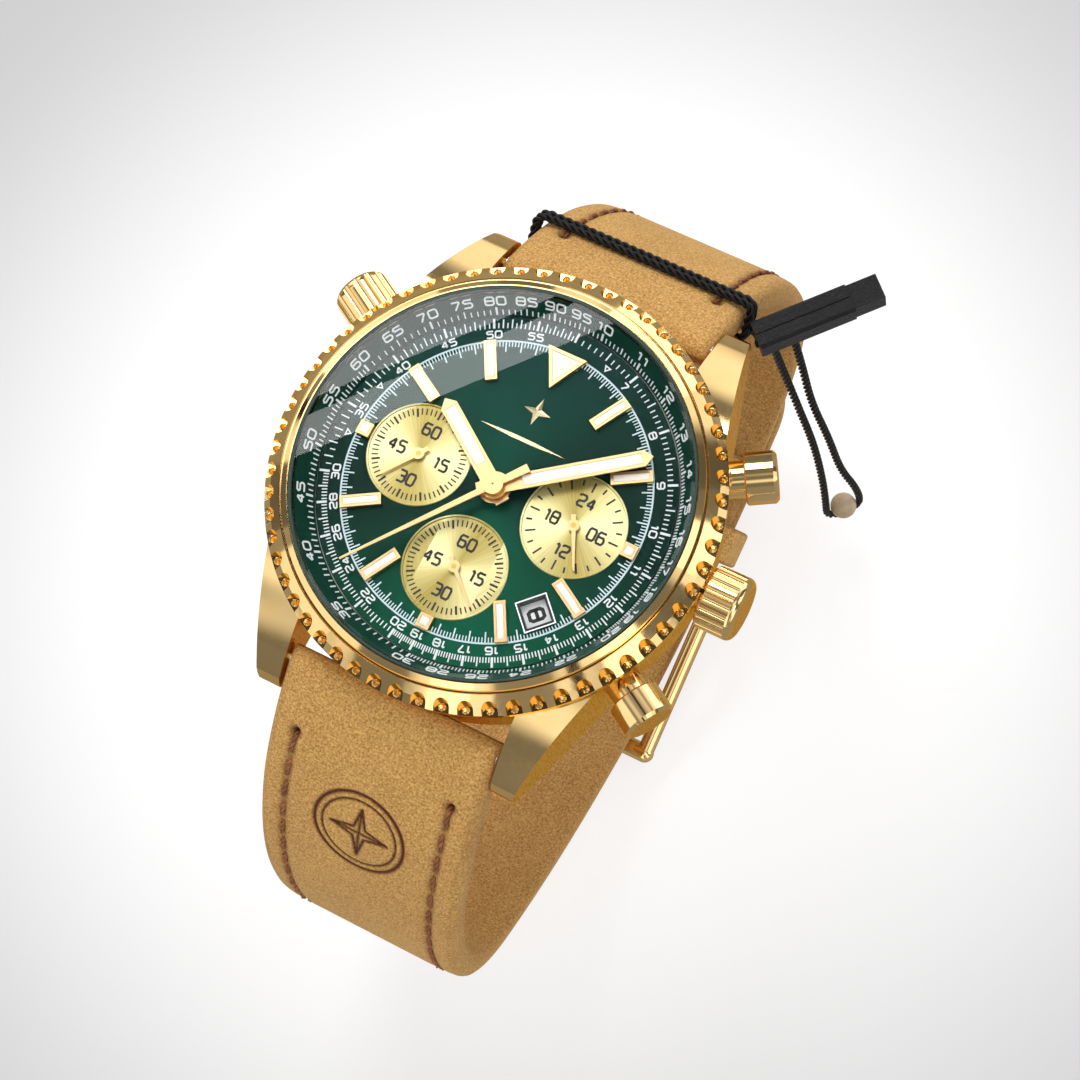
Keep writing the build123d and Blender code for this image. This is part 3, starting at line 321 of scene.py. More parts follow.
class Tree:
    """Adds and joins nodes in one node tree."""

    def __init__(self, tree):
        self.tree = tree

    def add(self, kind, sockets=None, **settings):
        node = self.tree.nodes.new(kind)
        for name, value in settings.items():
            setattr(node, name, value)
        for name, value in (sockets or {}).items():
            if isinstance(value, bpy.types.NodeSocket):
                self.tree.links.new(value, node.inputs[name])
            else:
                node.inputs[name].default_value = value
        return node

    def math(self, operation, *values, clamp=False):
        sockets = {n: value for n, value in enumerate(values)}
        return self.add("ShaderNodeMath", sockets, operation=operation, use_clamp=clamp).outputs[0]

    def vector(self, operation, *values):
        sockets = {n: value for n, value in enumerate(values)}
        node = self.add("ShaderNodeVectorMath", sockets, operation=operation)
        return node.outputs["Value" if operation in ("LENGTH", "DOT_PRODUCT") else "Vector"]

    def range(self, value, low, high, to_low=0.0, to_high=1.0):
        sockets = {"Value": value, "From Min": low, "From Max": high, "To Min": to_low, "To Max": to_high}
        return self.add("ShaderNodeMapRange", sockets).outputs["Result"]

    def mix(self, share, first, second):
        node = self.add("ShaderNodeMix", data_type="RGBA")
        for index, value in ((0, share), (6, first), (7, second)):
            if isinstance(value, bpy.types.NodeSocket):
                self.tree.links.new(value, node.inputs[index])
            else:
                node.inputs[index].default_value = value
        return node.outputs[2]

    def noise(self, vector, scale, detail=2.0, rough=0.5):
        sockets = {"Vector": vector, "Scale": scale, "Detail": detail, "Roughness": rough}
        return self.add("ShaderNodeTexNoise", sockets).outputs[0]

    def place(self):
        return self.add("ShaderNodeTexCoord").outputs["Object"]


def node_group(name, inputs, outputs, build):
    """A shader node group with named sockets, filled by build(tree, inputs, outputs)."""
    group = bpy.data.node_groups.new(name, "ShaderNodeTree")
    for socket, kind, value in inputs:
        made = group.interface.new_socket(name=socket, in_out="INPUT", socket_type=kind)
        made.default_value = value
    for socket, kind in outputs:
        group.interface.new_socket(name=socket, in_out="OUTPUT", socket_type=kind)
    tree = Tree(group)
    start = group.nodes.new("NodeGroupInput")
    end = group.nodes.new("NodeGroupOutput")
    for socket, value in build(tree, start.outputs).items():
        group.links.new(value, end.inputs[socket])
    return group


def build_grain(tree, given):
    """Fine even grain over a broad mottling."""
    place = tree.place()
    fine = tree.noise(place, given["Fine"], 3.0, 0.6)
    broad = tree.noise(place, given["Broad"], 3.0, 0.55)
    return {"Fine value": tree.range(fine, 0.3, 0.7), "Broad value": tree.range(broad, 0.3, 0.7)}


def build_sunburst(tree, given):
    """Brushing that runs out from a centre: a slow turn of painted highlight and shade, where a sunburst's
    reflections would fall, and fine radial lines.
    """
    from_center = tree.vector("SUBTRACT", tree.place(), given["Centre"])
    flat = tree.vector("MULTIPLY", from_center, (1.0, 1.0, 0.0))
    direction = tree.vector("NORMALIZE", flat)
    parts = tree.add("ShaderNodeSeparateXYZ", {"Vector": direction})
    angle = tree.math("ARCTAN2", parts.outputs["Y"], parts.outputs["X"])
    turned = tree.math("ADD", angle, given["Turn"])
    # Painted highlight and shade: two lighter and two darker sectors round the centre.
    slow = tree.math("SINE", tree.math("MULTIPLY", turned, 2.0))
    lines = tree.noise(direction, given["Lines"], 1.0, 0.5)
    return {"Shade": tree.range(slow, -1.0, 1.0), "Lines": tree.range(lines, 0.3, 0.7)}


def build_brushing(tree, given):
    """Short straight scratches along one direction, set by how the place is stretched."""
    place = tree.vector("MULTIPLY", tree.place(), given["Stretch"])
    lines = tree.noise(place, 1.0, 3.0, 0.6)
    return {"Lines": tree.range(lines, 0.3, 0.7)}


GRAIN = node_group(
    "fine grain",
    [("Fine", "NodeSocketFloat", 5000.0), ("Broad", "NodeSocketFloat", 200.0)],
    [("Fine value", "NodeSocketFloat"), ("Broad value", "NodeSocketFloat")],
    build_grain,
)
SUNBURST = node_group(
    "sunburst brushing and painted shade",
    [
        ("Centre", "NodeSocketVector", (0.0, 0.0, 0.0)),
        ("Turn", "NodeSocketFloat", 0.0),
        ("Lines", "NodeSocketFloat", 60.0),
    ],
    [("Shade", "NodeSocketFloat"), ("Lines", "NodeSocketFloat")],
    build_sunburst,
)
BRUSHING = node_group(
    "straight brushing",
    [("Stretch", "NodeSocketVector", (1.0, 1.0, 1.0))],
    [("Lines", "NodeSocketFloat")],
    build_brushing,
)


def new_material(name):
    """A material with a Principled shader: (material, tree, shader)."""
    material = bpy.data.materials.new(name)
    material.use_nodes = True
    material.node_tree.nodes.clear()
    tree = Tree(material.node_tree)
    shader = tree.add("ShaderNodeBsdfPrincipled")
    tree.add("ShaderNodeOutputMaterial", {"Surface": shader.outputs[0]})
    return material, tree, shader


def join(tree, shader, **sockets):
    """Feeds or sets a shader's sockets, named with underscores for spaces."""
    for name, value in sockets.items():
        socket = shader.inputs[name.replace("_", " ")]
        if isinstance(value, bpy.types.NodeSocket):
            tree.tree.links.new(value, socket)
        else:
            socket.default_value = value


def use_group(tree, group, **sockets):
    """Puts a shared node group into a material and returns its outputs."""
    node = tree.add("ShaderNodeGroup", node_tree=group)
    for name, value in sockets.items():
        node.inputs[name.replace("_", " ")].default_value = value
    return node.outputs


def bump(tree, height, distance, strength=1.0):
    sockets = {"Height": height, "Distance": distance, "Strength": strength}
    return tree.add("ShaderNodeBump", sockets).outputs["Normal"]


# ---------------------------------------------------------------- materials

GOLD = linear(249, 214, 150)
GOLD_DEEP = linear(243, 205, 138)
# The next gold is darker as painted shade, for brushed and satin parts.
GOLD_SHADED = linear(222, 170, 92)
GOLD_IN_GOLD = linear(250, 228, 184)
GOLD_EDGE = linear(244, 196, 118)
BUTTON_CLOCKS = (60.0, 90.0, 120.0, 300.0)


def gold_color(tree, grain):
    """Gold plating's colour, paler where gold is mirrored in gold, so that hollows don't turn orange."""
    plain = tree.mix(grain["Broad value"], GOLD, GOLD_DEEP)
    mirrored = tree.add("ShaderNodeLightPath").outputs["Is Glossy Ray"]
    return tree.mix(mirrored, plain, GOLD_IN_GOLD)


def gold(name, rough=0.07, spread=0.04, deep=0.0):
    """Yellow gold plating, with faint handling haze in its polish, mixed by deep towards a darker gold that
    is painted shade.
    """
    material, tree, shader = new_material(name)
    grain = use_group(tree, GRAIN, Fine=2500.0, Broad=260.0)
    join(
        tree, shader,
        Base_Color=tree.mix(deep, gold_color(tree, grain), GOLD_SHADED),
        Specular_Tint=GOLD_EDGE,
        Metallic=1.0,
        Roughness=tree.range(grain["Fine value"], 0.0, 1.0, rough, rough + spread),
    )
    return material


def part_brushed_gold(name, brushed_and_shaded_mask, stretch):
    """Gold plating that is polished, and brushed where the given mask says so, the brushed parts darkened
    with painted shade.
    """
    material, tree, shader = new_material(name)
    grain = use_group(tree, GRAIN, Fine=2500.0, Broad=260.0)
    scratches = use_group(tree, BRUSHING, Stretch=stretch)
    mask = brushed_and_shaded_mask(tree)
    polished = tree.range(grain["Fine value"], 0.0, 1.0, 0.07, 0.11)
    brushed = tree.range(scratches["Lines"], 0.0, 1.0, 0.24, 0.4)
    rough = tree.add("ShaderNodeMix", {0: mask, 2: polished, 3: brushed}, data_type="FLOAT").outputs[0]
    # Painted shade: brushed parts run between a darker painted gold and plain gold along the scratches.
    shaded_streaks = tree.mix(scratches["Lines"], GOLD_SHADED, GOLD)
    height = tree.math("MULTIPLY", scratches["Lines"], mask)
    join(
        tree, shader,
        Base_Color=tree.mix(mask, gold_color(tree, grain), shaded_streaks),
        Specular_Tint=GOLD_EDGE,
        Metallic=1.0,
        Roughness=rough,
        Normal=bump(tree, height, 0.00001),
    )
    return material


def upright_mask(tree):
    """1 on the case's upright sides."""
    normal = tree.add("ShaderNodeNewGeometry").outputs["True Normal"]
    up = tree.math("ABSOLUTE", tree.add("ShaderNodeSeparateXYZ", {"Vector": normal}).outputs["Z"])
    return tree.range(up, 0.35, 0.15)


def button_end_mask(tree):
    """1 on the flat ends of the crowns and pushers."""
    normal = tree.add("ShaderNodeNewGeometry").outputs["True Normal"]
    facing = None
    for clock in BUTTON_CLOCKS:
        along = tree.vector("DOT_PRODUCT", normal, (*polar(1.0, clock), 0.0))
        facing = along if facing is None else tree.math("MAXIMUM", facing, along)
    return tree.range(facing, 0.985, 0.995)


def metal(name, color, dark, rough=0.25, stretch=(3000.0, 3000.0, 300.0)):
    """A machined or rolled metal with faint tool marks."""
    material, tree, shader = new_material(name)
    lines = use_group(tree, BRUSHING, Stretch=stretch)["Lines"]
    join(
        tree, shader,
        Base_Color=tree.mix(lines, color, dark),
        Metallic=1.0,
        Roughness=tree.range(lines, 0.0, 1.0, rough, rough + 0.12),
        Normal=bump(tree, lines, 0.000004),
    )
    return material


def plastic(name, color, dark, rough=0.45, fine=4000.0, depth=0.000012, shine=0.5):
    """A moulded surface with a fine even texture."""
    material, tree, shader = new_material(name)
    grain = use_group(tree, GRAIN, Fine=fine, Broad=300.0)
    join(
        tree, shader,
        Base_Color=tree.mix(grain["Broad value"], color, dark),
        Roughness=tree.range(grain["Fine value"], 0.0, 1.0, rough, rough + 0.15),
        Specular_IOR_Level=shine,
        Normal=bump(tree, grain["Fine value"], depth),
    )
    return material


def dial_lacquer():
    """Dark green sunburst lacquer, cooler and darker towards the top of the dial, with painted shade in
    sectors round its centre.
    """
    material, tree, shader = new_material("dial_lacquer")
    burst = use_group(tree, SUNBURST, Centre=(0.0, 0.0, 0.0), Turn=radians(25), Lines=45.0)
    height = tree.add("ShaderNodeSeparateXYZ", {"Vector": tree.place()}).outputs["Y"]
    cool = tree.range(height, -0.012, 0.014)
    base = tree.mix(cool, linear(5, 82, 58), linear(8, 48, 44))
    # Painted shade: the sunburst's turn darkens two opposite sectors of the green.
    shaded = tree.mix(burst["Shade"], base, linear(4, 38, 30))
    join(
        tree, shader,
        Base_Color=shaded,
        Metallic=0.3,
        Specular_IOR_Level=0.12,
        Roughness=tree.range(burst["Lines"], 0.0, 1.0, 0.34, 0.44),
        Normal=bump(tree, burst["Lines"], 0.000004, 0.6),
    )
    return material


def ring_lacquer():
    """The slide-rule ring's green, a shade deeper than the dial, with a faint turned grain."""
    material, tree, shader = new_material("ring_lacquer")
    lines = use_group(tree, BRUSHING, Stretch=(300.0, 300.0, 12000.0))["Lines"]
    join(
        tree, shader,
        Base_Color=tree.mix(lines, linear(4, 62, 47), linear(4, 50, 40)),
        Metallic=0.2,
        Specular_IOR_Level=0.12,
        Roughness=tree.range(lines, 0.0, 1.0, 0.38, 0.48),
    )
    return material


def champagne():
    """Champagne gold sunburst on all three counters, with painted highlight and shade turning about each
    counter's own centre.
    """
    material, tree, shader = new_material("champagne")
    parts = tree.add("ShaderNodeSeparateXYZ", {"Vector": tree.place()})
    east = tree.math("GREATER_THAN", parts.outputs["X"], 0.003)
    west = tree.math("LESS_THAN", parts.outputs["X"], -0.003)
    shades = []
    lines = []
    for clock, turn in ((90.0, 20.0), (180.0, 60.0), (270.0, 35.0)):
        x, y = polar(COUNTER_OFFSET * MM, clock)
        burst = use_group(tree, SUNBURST, Centre=(x, y, 0.0), Turn=radians(turn), Lines=38.0)
        shades.append(burst["Shade"])
        lines.append(burst["Lines"])

    def chosen(values):
        lower = tree.add("ShaderNodeMix", {0: east, 2: values[1], 3: values[0]}, data_type="FLOAT").outputs[0]
        return tree.add("ShaderNodeMix", {0: west, 2: lower, 3: values[2]}, data_type="FLOAT").outputs[0]

    shade = chosen(shades)
    line = chosen(lines)
    # Painted highlight and shade from each sunburst's turn, with a little of its radial lines.
    painted_sheen = tree.math("ADD", tree.math("MULTIPLY", shade, 0.8), tree.math("MULTIPLY", line, 0.2))
    join(
        tree, shader,
        Base_Color=tree.mix(painted_sheen, linear(156, 138, 62), linear(238, 230, 172)),
        Metallic=0.75,
        Roughness=tree.range(line, 0.0, 1.0, 0.32, 0.44),
        Normal=bump(tree, line, 0.000004),
    )
    return material


def paint(name, color, rough=0.5):
    """Pad-printed ink or poured lume, very slightly uneven."""
    material, tree, shader = new_material(name)
    grain = use_group(tree, GRAIN, Fine=6000.0, Broad=900.0)
    darker = tuple(value * 0.9 for value in color[:3]) + (1.0,)
    join(
        tree, shader,
        Base_Color=tree.mix(grain["Broad value"], color, darker),
        Roughness=tree.range(grain["Fine value"], 0.0, 1.0, rough, rough + 0.1),
    )
    return material


def crystal_glass():
    """Clear mineral glass with its reflections in a coat. Shadow and diffuse rays pass straight through."""
    material, tree, shader = new_material("crystal_glass")
    join(
        tree, shader, Base_Color=(1.0, 1.0, 1.0, 1.0), Roughness=0.0, IOR=1.0, Transmission_Weight=1.0,
        Coat_Weight=1.0, Coat_IOR=1.5, Coat_Roughness=0.0,
    )
    rays = tree.add("ShaderNodeLightPath")
    through = tree.math("MAXIMUM", rays.outputs["Is Shadow Ray"], rays.outputs["Is Diffuse Ray"])
    inner_face = tree.add("ShaderNodeNewGeometry").outputs["Backfacing"]
    through = tree.math("MAXIMUM", through, inner_face)
    clear = tree.add("ShaderNodeBsdfTransparent")
    mixed = tree.add("ShaderNodeMixShader", {0: through, 1: shader.outputs[0], 2: clear.outputs[0]})
    output = next(node for node in tree.tree.nodes if node.type == "OUTPUT_MATERIAL")
    tree.tree.links.new(mixed.outputs[0], output.inputs["Surface"])
    return material


def nubuck():
    """Tan nubuck: a short nap with lighter and darker flecks, darkened in its stitch channels and emblem
    lines partly as compressed nubuck and partly as painted shade, and with painted shade in its pits, on its
    edges and on its underside.
    """
    material, tree, shader = new_material("nubuck")
    grain = use_group(tree, GRAIN, Fine=4800.0, Broad=170.0)
    nap = tree.noise(tree.place(), 2100.0, 2.0, 0.6)
    pressed_and_shaded = tree.add("ShaderNodeAttribute", attribute_name="pressed_and_shaded").outputs["Fac"]
    flecks = tree.mix(grain["Fine value"], linear(114, 68, 22), linear(252, 206, 130))
    patches = tree.mix(grain["Broad value"], linear(188, 134, 62), linear(214, 160, 84))
    leather = tree.mix(0.62, patches, flecks)
    height = tree.math("ADD", grain["Fine value"], tree.math("MULTIPLY", nap, 1.2))
    join(
        tree, shader,
        Base_Color=tree.mix(pressed_and_shaded, leather, linear(84, 34, 16)),
        Roughness=0.92,
        Specular_IOR_Level=0.2,
        Sheen_Weight=0.25,
        Sheen_Roughness=0.45,
        Sheen_Tint=linear(240, 205, 150),
        Normal=bump(tree, height, 0.00006, 0.8),
    )
    return material


def waxed_cord():
    """Black waxed cord: fibres along the strands, with a waxy gloss."""
    material, tree, shader = new_material("waxed_cord")
    grain = use_group(tree, GRAIN, Fine=9000.0, Broad=1500.0)
    join(
        tree, shader,
        Base_Color=tree.mix(grain["Broad value"], linear(8, 8, 8), linear(24, 22, 20)),
        Specular_IOR_Level=0.25,
        Roughness=tree.range(grain["Fine value"], 0.0, 1.0, 0.25, 0.45),
        Normal=bump(tree, grain["Fine value"], 0.00002),
    )
    return material


def thread():
    """Rust-brown stitching thread."""
    material, tree, shader = new_material("thread")
    grain = use_group(tree, GRAIN, Fine=9000.0, Broad=900.0)
    join(
        tree, shader,
        Base_Color=tree.mix(grain["Broad value"], linear(118, 62, 30), linear(168, 104, 58)),
        Roughness=0.6,
        Normal=bump(tree, grain["Fine value"], 0.00002),
    )
    return material


POLISHED_GOLD = gold("polished_gold")
# Satin gold is rougher, and painted shade darkens its colour halfway.
SATIN_SHADED_GOLD = gold("satin_shaded_gold", 0.3, 0.06, 0.55)
# Brushed upright case sides and crown and pusher ends are darker with painted shade.
CASE_GOLD = part_brushed_gold("case_gold", upright_mask, (9000.0, 9000.0, 700.0))
BUTTON_GOLD = part_brushed_gold("button_gold", button_end_mask, (700.0, 5000.0, 12000.0))
STEEL = metal("plain_steel", linear(190, 192, 196), linear(165, 168, 172))
BRIGHT_STEEL = metal("bright_steel", linear(232, 235, 240), linear(214, 218, 224), 0.12)
LINE_STEEL = metal("line_steel", linear(238, 240, 244), linear(226, 230, 234), 0.45)
BRASS = metal("train_brass", linear(214, 180, 104), linear(196, 160, 88), 0.3)
COPPER = metal("coil_copper", linear(196, 112, 70), linear(170, 88, 52), 0.35, (12000.0, 12000.0, 500.0))
BLACK_PLASTIC = plastic("seal_plastic", linear(12, 12, 13), linear(20, 20, 21), 0.36, 3600.0, 0.00006, 0.25)
SPACER = plastic("spacer_plastic", linear(214, 212, 204), linear(202, 200, 192))
BOARD = plastic("board", linear(24, 84, 52), linear(18, 70, 44))
RUBBER = plastic("rubber", linear(24, 24, 25), linear(32, 32, 33), 0.6)
GREEN_NYLON = plastic("green_nylon", linear(10, 60, 46), linear(8, 50, 40), 0.5)
IVORY = plastic("bead_ivory", linear(206, 186, 156), linear(170, 148, 118), 0.35, 1500.0, 0.00001)
DATE_WHITE = paint("date_white", linear(244, 245, 246))
# The date window's frame is painted near-black as the shade of its recess.
FRAME_SHADE = paint("frame_painted_shade", linear(26, 30, 30), 0.3)
DIAL_LACQUER = dial_lacquer()
RING_LACQUER = ring_lacquer()
CHAMPAGNE = champagne()
GLASS = crystal_glass()
WHITE_INK = paint("white_ink", linear(236, 242, 244))
BLUE_INK = paint("pale_blue_ink", linear(218, 238, 244))
BLACK_INK = paint("black_ink", linear(22, 20, 18))
GOLD_INK = gold("applied_gold", 0.22, 0.05)
LUME = paint("lume", linear(255, 252, 240), 0.35)
NUBUCK = nubuck()
THREAD = thread()
WAXED_CORD = waxed_cord()

BY_SLOT = {
    "gold_polished": POLISHED_GOLD,
    "steel": STEEL,
    "steel_polished": BRIGHT_STEEL,
    "brass_train": BRASS,
    "crystal_glass": GLASS,
    "seal_rubber": RUBBER,
    "spacer_plastic": SPACER,
    "board": BOARD,
    "dial_green": DIAL_LACQUER,
    "ring_green": RING_LACQUER,
    "counter_gold": CHAMPAGNE,
    "date_white": DATE_WHITE,
    "coil_copper": COPPER,
    "strap_leather": NUBUCK,
    "tag_cord": WAXED_CORD,
    "tag_plastic": BLACK_PLASTIC,
    "bead_ivory": IVORY,
}
BY_NODE = {
    "mid_case": CASE_GOLD,
    "case_back": CASE_GOLD,
    "crown": BUTTON_GOLD,
    "rule_crown": BUTTON_GOLD,
    "pusher_2": BUTTON_GOLD,
    "pusher_4": BUTTON_GOLD,
    "date_frame": FRAME_SHADE,
    "gaskets": GREEN_NYLON,
    "hour_hand": SATIN_SHADED_GOLD,
    "minute_hand": SATIN_SHADED_GOLD,
    "chrono_hand": SATIN_SHADED_GOLD,
    "seconds_hand": SATIN_SHADED_GOLD,
    "counter_hand": SATIN_SHADED_GOLD,
    "day_hand": SATIN_SHADED_GOLD,
    "hour_markers": SATIN_SHADED_GOLD,
}


def dress_cad_nodes():
    """Gives every node of the frame its finish, by its own name or by the slot that it was packed with."""
    for name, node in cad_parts.items():
        for index, place in enumerate(node.material_slots):
            packed = place.material.name.split(".")[0]
            node.material_slots[index].material = BY_NODE.get(name) or BY_SLOT[packed]


dress_cad_nodes()


# ---------------------------------------------------------------- cord

def route_line():
    """The hanging cord's own line, in metres: the points of the smooth curve through its route."""
    curve = bpy.data.curves.new("cord_route", "CURVE")
    curve.dimensions = "3D"
    curve.resolution_u = 24
    spline = curve.splines.new("NURBS")
    spline.points.add(len(CORD_ROUTE) - 1)
    for point, (x, y, z) in zip(spline.points, CORD_ROUTE):
        point.co = (x * MM, y * MM, z * MM, 1.0)
    spline.order_u = 3
    spline.use_endpoint_u = True
    holder = bpy.data.objects.new("cord_route", curve)
    mesh = bpy.data.meshes.new_from_object(holder)
    line = [vertex.co.copy() for vertex in mesh.vertices]
    bpy.data.objects.remove(holder)
    return line


def evened(line, step, closed=False):
    """The same line with points a step apart."""
    points = line + [line[0]] if closed else line
    distances = [0.0]
    for first, second in zip(points, points[1:]):
        distances.append(distances[-1] + (second - first).length)
    total = distances[-1]
    count = max(2, round(total / step))
    made = []
    segment = 0
    for n in range(count if closed else count + 1):
        wanted = total * n / count
        while segment < len(points) - 2 and distances[segment + 1] < wanted:
            segment += 1
        span = max(distances[segment + 1] - distances[segment], 1e-12)
        made.append(points[segment].lerp(points[segment + 1], (wanted - distances[segment]) / span))
    return made


def twist(solid, line, radius, strands, pitch, closed=False, sides=8, step=0.2):
    """Twisted strands round a line of points, in millimetres."""
    points = evened(line, step, closed)
    count = len(points)
    tangents = []
    for n in range(count):
        before = points[n - 1] if closed or n > 0 else points[n]
        after = points[(n + 1) % count] if closed or n < count - 1 else points[n]
        tangents.append((after - before).normalized())
    side = tangents[0].orthogonal().normalized()
    frames = []
    for tangent in tangents:
        side = (side - tangent * side.dot(tangent)).normalized()
        frames.append((side, tangent.cross(side)))
    closing = 0.0
    if closed:
        last = (side - tangents[0] * side.dot(tangents[0])).normalized()
        closing = atan2(last.dot(frames[0][1]), last.dot(frames[0][0]))
    length = count * step
    turns = max(1, round(length / pitch)) if closed else length / pitch
    offset = radius * (0.5 if strands == 2 else 0.52)
    thick = radius - offset
    for strand in range(strands):
        rings = []
        for n, (point, (first, second)) in enumerate(zip(points, frames)):
            share = n / count
            angle = 2 * pi * (turns * share + strand / strands) - closing * share
            middle = point + offset * (cos(angle) * first + sin(angle) * second)
            ring = []
            for corner in range(sides):
                around = 2 * pi * corner / sides
                ring.append(middle + thick * (cos(around) * first + sin(around) * second))
            rings.append(ring)
        solid.rings(rings, closed)


def hang_cord():
    """The cord that hangs from the seal and carries the bead, as three twisted strands."""
    line = route_line()
    solid = Solid()
    twist(solid, [point / MM for point in line], CORD_RADIUS, 3, 2.6)
    cord = make_piece("hanging_cord", solid, WAXED_CORD, "case", smooth=True)
    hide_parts("tag_cord_drop")
    [tuple(point) for point in line]


def side_point(center, radius, angle):
    """A (Y, Z) point of the strap's side outline."""
    return center[0] + radius * cos(radians(angle)), center[1] + radius * sin(radians(angle))


def tie_wrap():
    """Two turns of the same cord round the 12 o'clock half, and the two leads to the seal."""
    wrap_angle = 44.4
    half_across = 10.8 + CORD_RADIUS + 0.15
    half_through = STRAP_THICKNESS / 2 + CORD_RADIUS + 0.15
    corner = 0.9
    solid = Solid()
    spread = degrees((CORD_RADIUS + 0.01) / ARCH_RADIUS)
    for angle in (wrap_angle - spread, wrap_angle + spread):
        y, z = side_point(ARCH_CENTER, ARCH_RADIUS - STRAP_THICKNESS / 2, angle)
        out = Vector((0, cos(radians(angle)), sin(radians(angle))))
        line = []
        for sx, sh, start in ((1, 1, 0), (-1, 1, 90), (-1, -1, 180), (1, -1, 270)):
            for n in range(5):
                turn = radians(start + 22.5 * n)
                across = sx * (half_across - corner) + corner * cos(turn)
                through = sh * (half_through - corner) + corner * sin(turn)
                line.append(Vector((across, y, z)) + out * through)
        twist(solid, line, CORD_RADIUS, 3, 2.6, closed=True)
    y, z = side_point(ARCH_CENTER, ARCH_RADIUS - STRAP_THICKNESS / 2, wrap_angle)
    clock = radians(90.0 - 41.8)
    for lift in (-0.5, 0.5):
        start = Vector((half_across + 0.5, y, z + lift))
        end = Vector((13.0 - lift * sin(clock), 25.0 + lift * cos(clock), 0.0))
        middle = start.lerp(end, 0.5) + Vector((0.35, 0.1, 0.0))
        twist(solid, [start, middle, end], CORD_RADIUS, 3, 2.6)
    wrap = make_piece("tied_cord", solid, WAXED_CORD, "case", smooth=True)
    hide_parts("tag_cord_wrap")


hang_cord()
tie_wrap()


# ---------------------------------------------------------------- dial prints and fillings

def scale_steps(first, last):
    """The divisions of a logarithmic scale: (value, rank), rank 2 for a bold line and 0 for a short one."""
    made = []
    for low, high, parts, long_every, bold_every in (
        (first, 20, 10, 5, 10), (20, 30, 5, 5, 10), (30, 60, 2, 2, 10), (60, last, 1, 5, 10),
    ):
        if high <= low:
            continue
        for n in range(round((high - low) * parts)):
            value = low + n / parts
            rank = 0
            if n % long_every == 0:
                rank = 1
            if n % bold_every == 0:
                rank = 2
            made.append((value, rank))
    return made


def cone_slope():
    rise = (CONE_TOP[0] - CONE_FOOT[0], CONE_TOP[1] - CONE_FOOT[1])
    length = hypot(*rise)
    return rise[0] / length, rise[1] / length


def inner_clock(value):
    return 360.0 * log10(value / 60.0)


def outer_clock(value):
    return 7.5 + 360.0 * log10(value / 10.0)


def print_inner_scale():
    """The fixed slide-rule scale on the dial's edge: lines out from a circle, and numbers inside it."""
    solid = Solid()
    for value, rank in scale_steps(6, 60):
        end = (15.95, 16.3, 16.4)[rank]
        width = (0.11, 0.13, 0.22)[rank]
        stroke(solid, [(0, 15.45), (0, end)], width, ring_place(inner_clock(value)))
    numbers = [*range(7, 21), 22, 24, 26, 28, *range(30, 60, 5)]
    for value in numbers:
        write(solid, str(value), ring_place(inner_clock(value)), 14.86, 0.78, 0.92, 0.19)
    for value in (6.6, 33.0, 37.5):
        place = ring_place(inner_clock(value))
        stroke(solid, [(-0.28, 15.1), (0.28, 15.1), (0.0, 14.65), (-0.28, 15.1)], 0.12, place)
    make_piece("inner_scale_print", solid, WHITE_INK, "case")


def print_outer_scale():
    """The slide-rule ring's own scale, which turns with it: lines at the cone's foot, numbers above them."""
    solid = Solid()
    slope = cone_slope()
    for value, rank in scale_steps(10, 100):
        place = ring_place(outer_clock(value), CONE_FOOT, slope, CONE_PRINT)
        end = (0.72, 0.9, 1.0)[rank]
        width = (0.11, 0.13, 0.2)[rank]
        stroke(solid, [(0, 0.2), (0, end)], width, place)
    numbers = [*range(10, 21), 22, 24, 26, 28, *range(30, 100, 5)]
    for value in numbers:
        place = ring_place(outer_clock(value), CONE_FOOT, slope, CONE_PRINT)
        write(solid, str(value), place, 1.72, 1.02, 0.92, 0.16)
    make_piece("outer_scale_print", solid, WHITE_INK, "rule_ring")


def print_minute_track():
    """A pale blue circle with fifths of a second hanging from it."""
    solid = Solid()
    rings = []
    for n in range(360):
        place = ring_place(float(n))
        rings.append([
            place(0, MARKER_OUTER + 0.08, PRINT), place(0, MARKER_OUTER - 0.08, PRINT),
            place(0, MARKER_OUTER - 0.08, -0.01), place(0, MARKER_OUTER + 0.08, -0.01),
        ])
    solid.rings(rings, closed=True)
    for n in range(300):
        clock = n * 1.2
        to_marker = abs((clock + 15.0) % 30.0 - 15.0)
        if to_marker < 2.0:
            continue
        length = 1.05 if n % 5 == 0 else 0.55
        if abs(clock - DATE_CLOCK) < 7.5:
            length = 0.42
        width = 0.13 if n % 5 == 0 else 0.1
        stroke(solid, [(0, MARKER_OUTER - length), (0, MARKER_OUTER)], width, ring_place(clock))
    make_piece("minute_track_print", solid, BLUE_INK, "case")


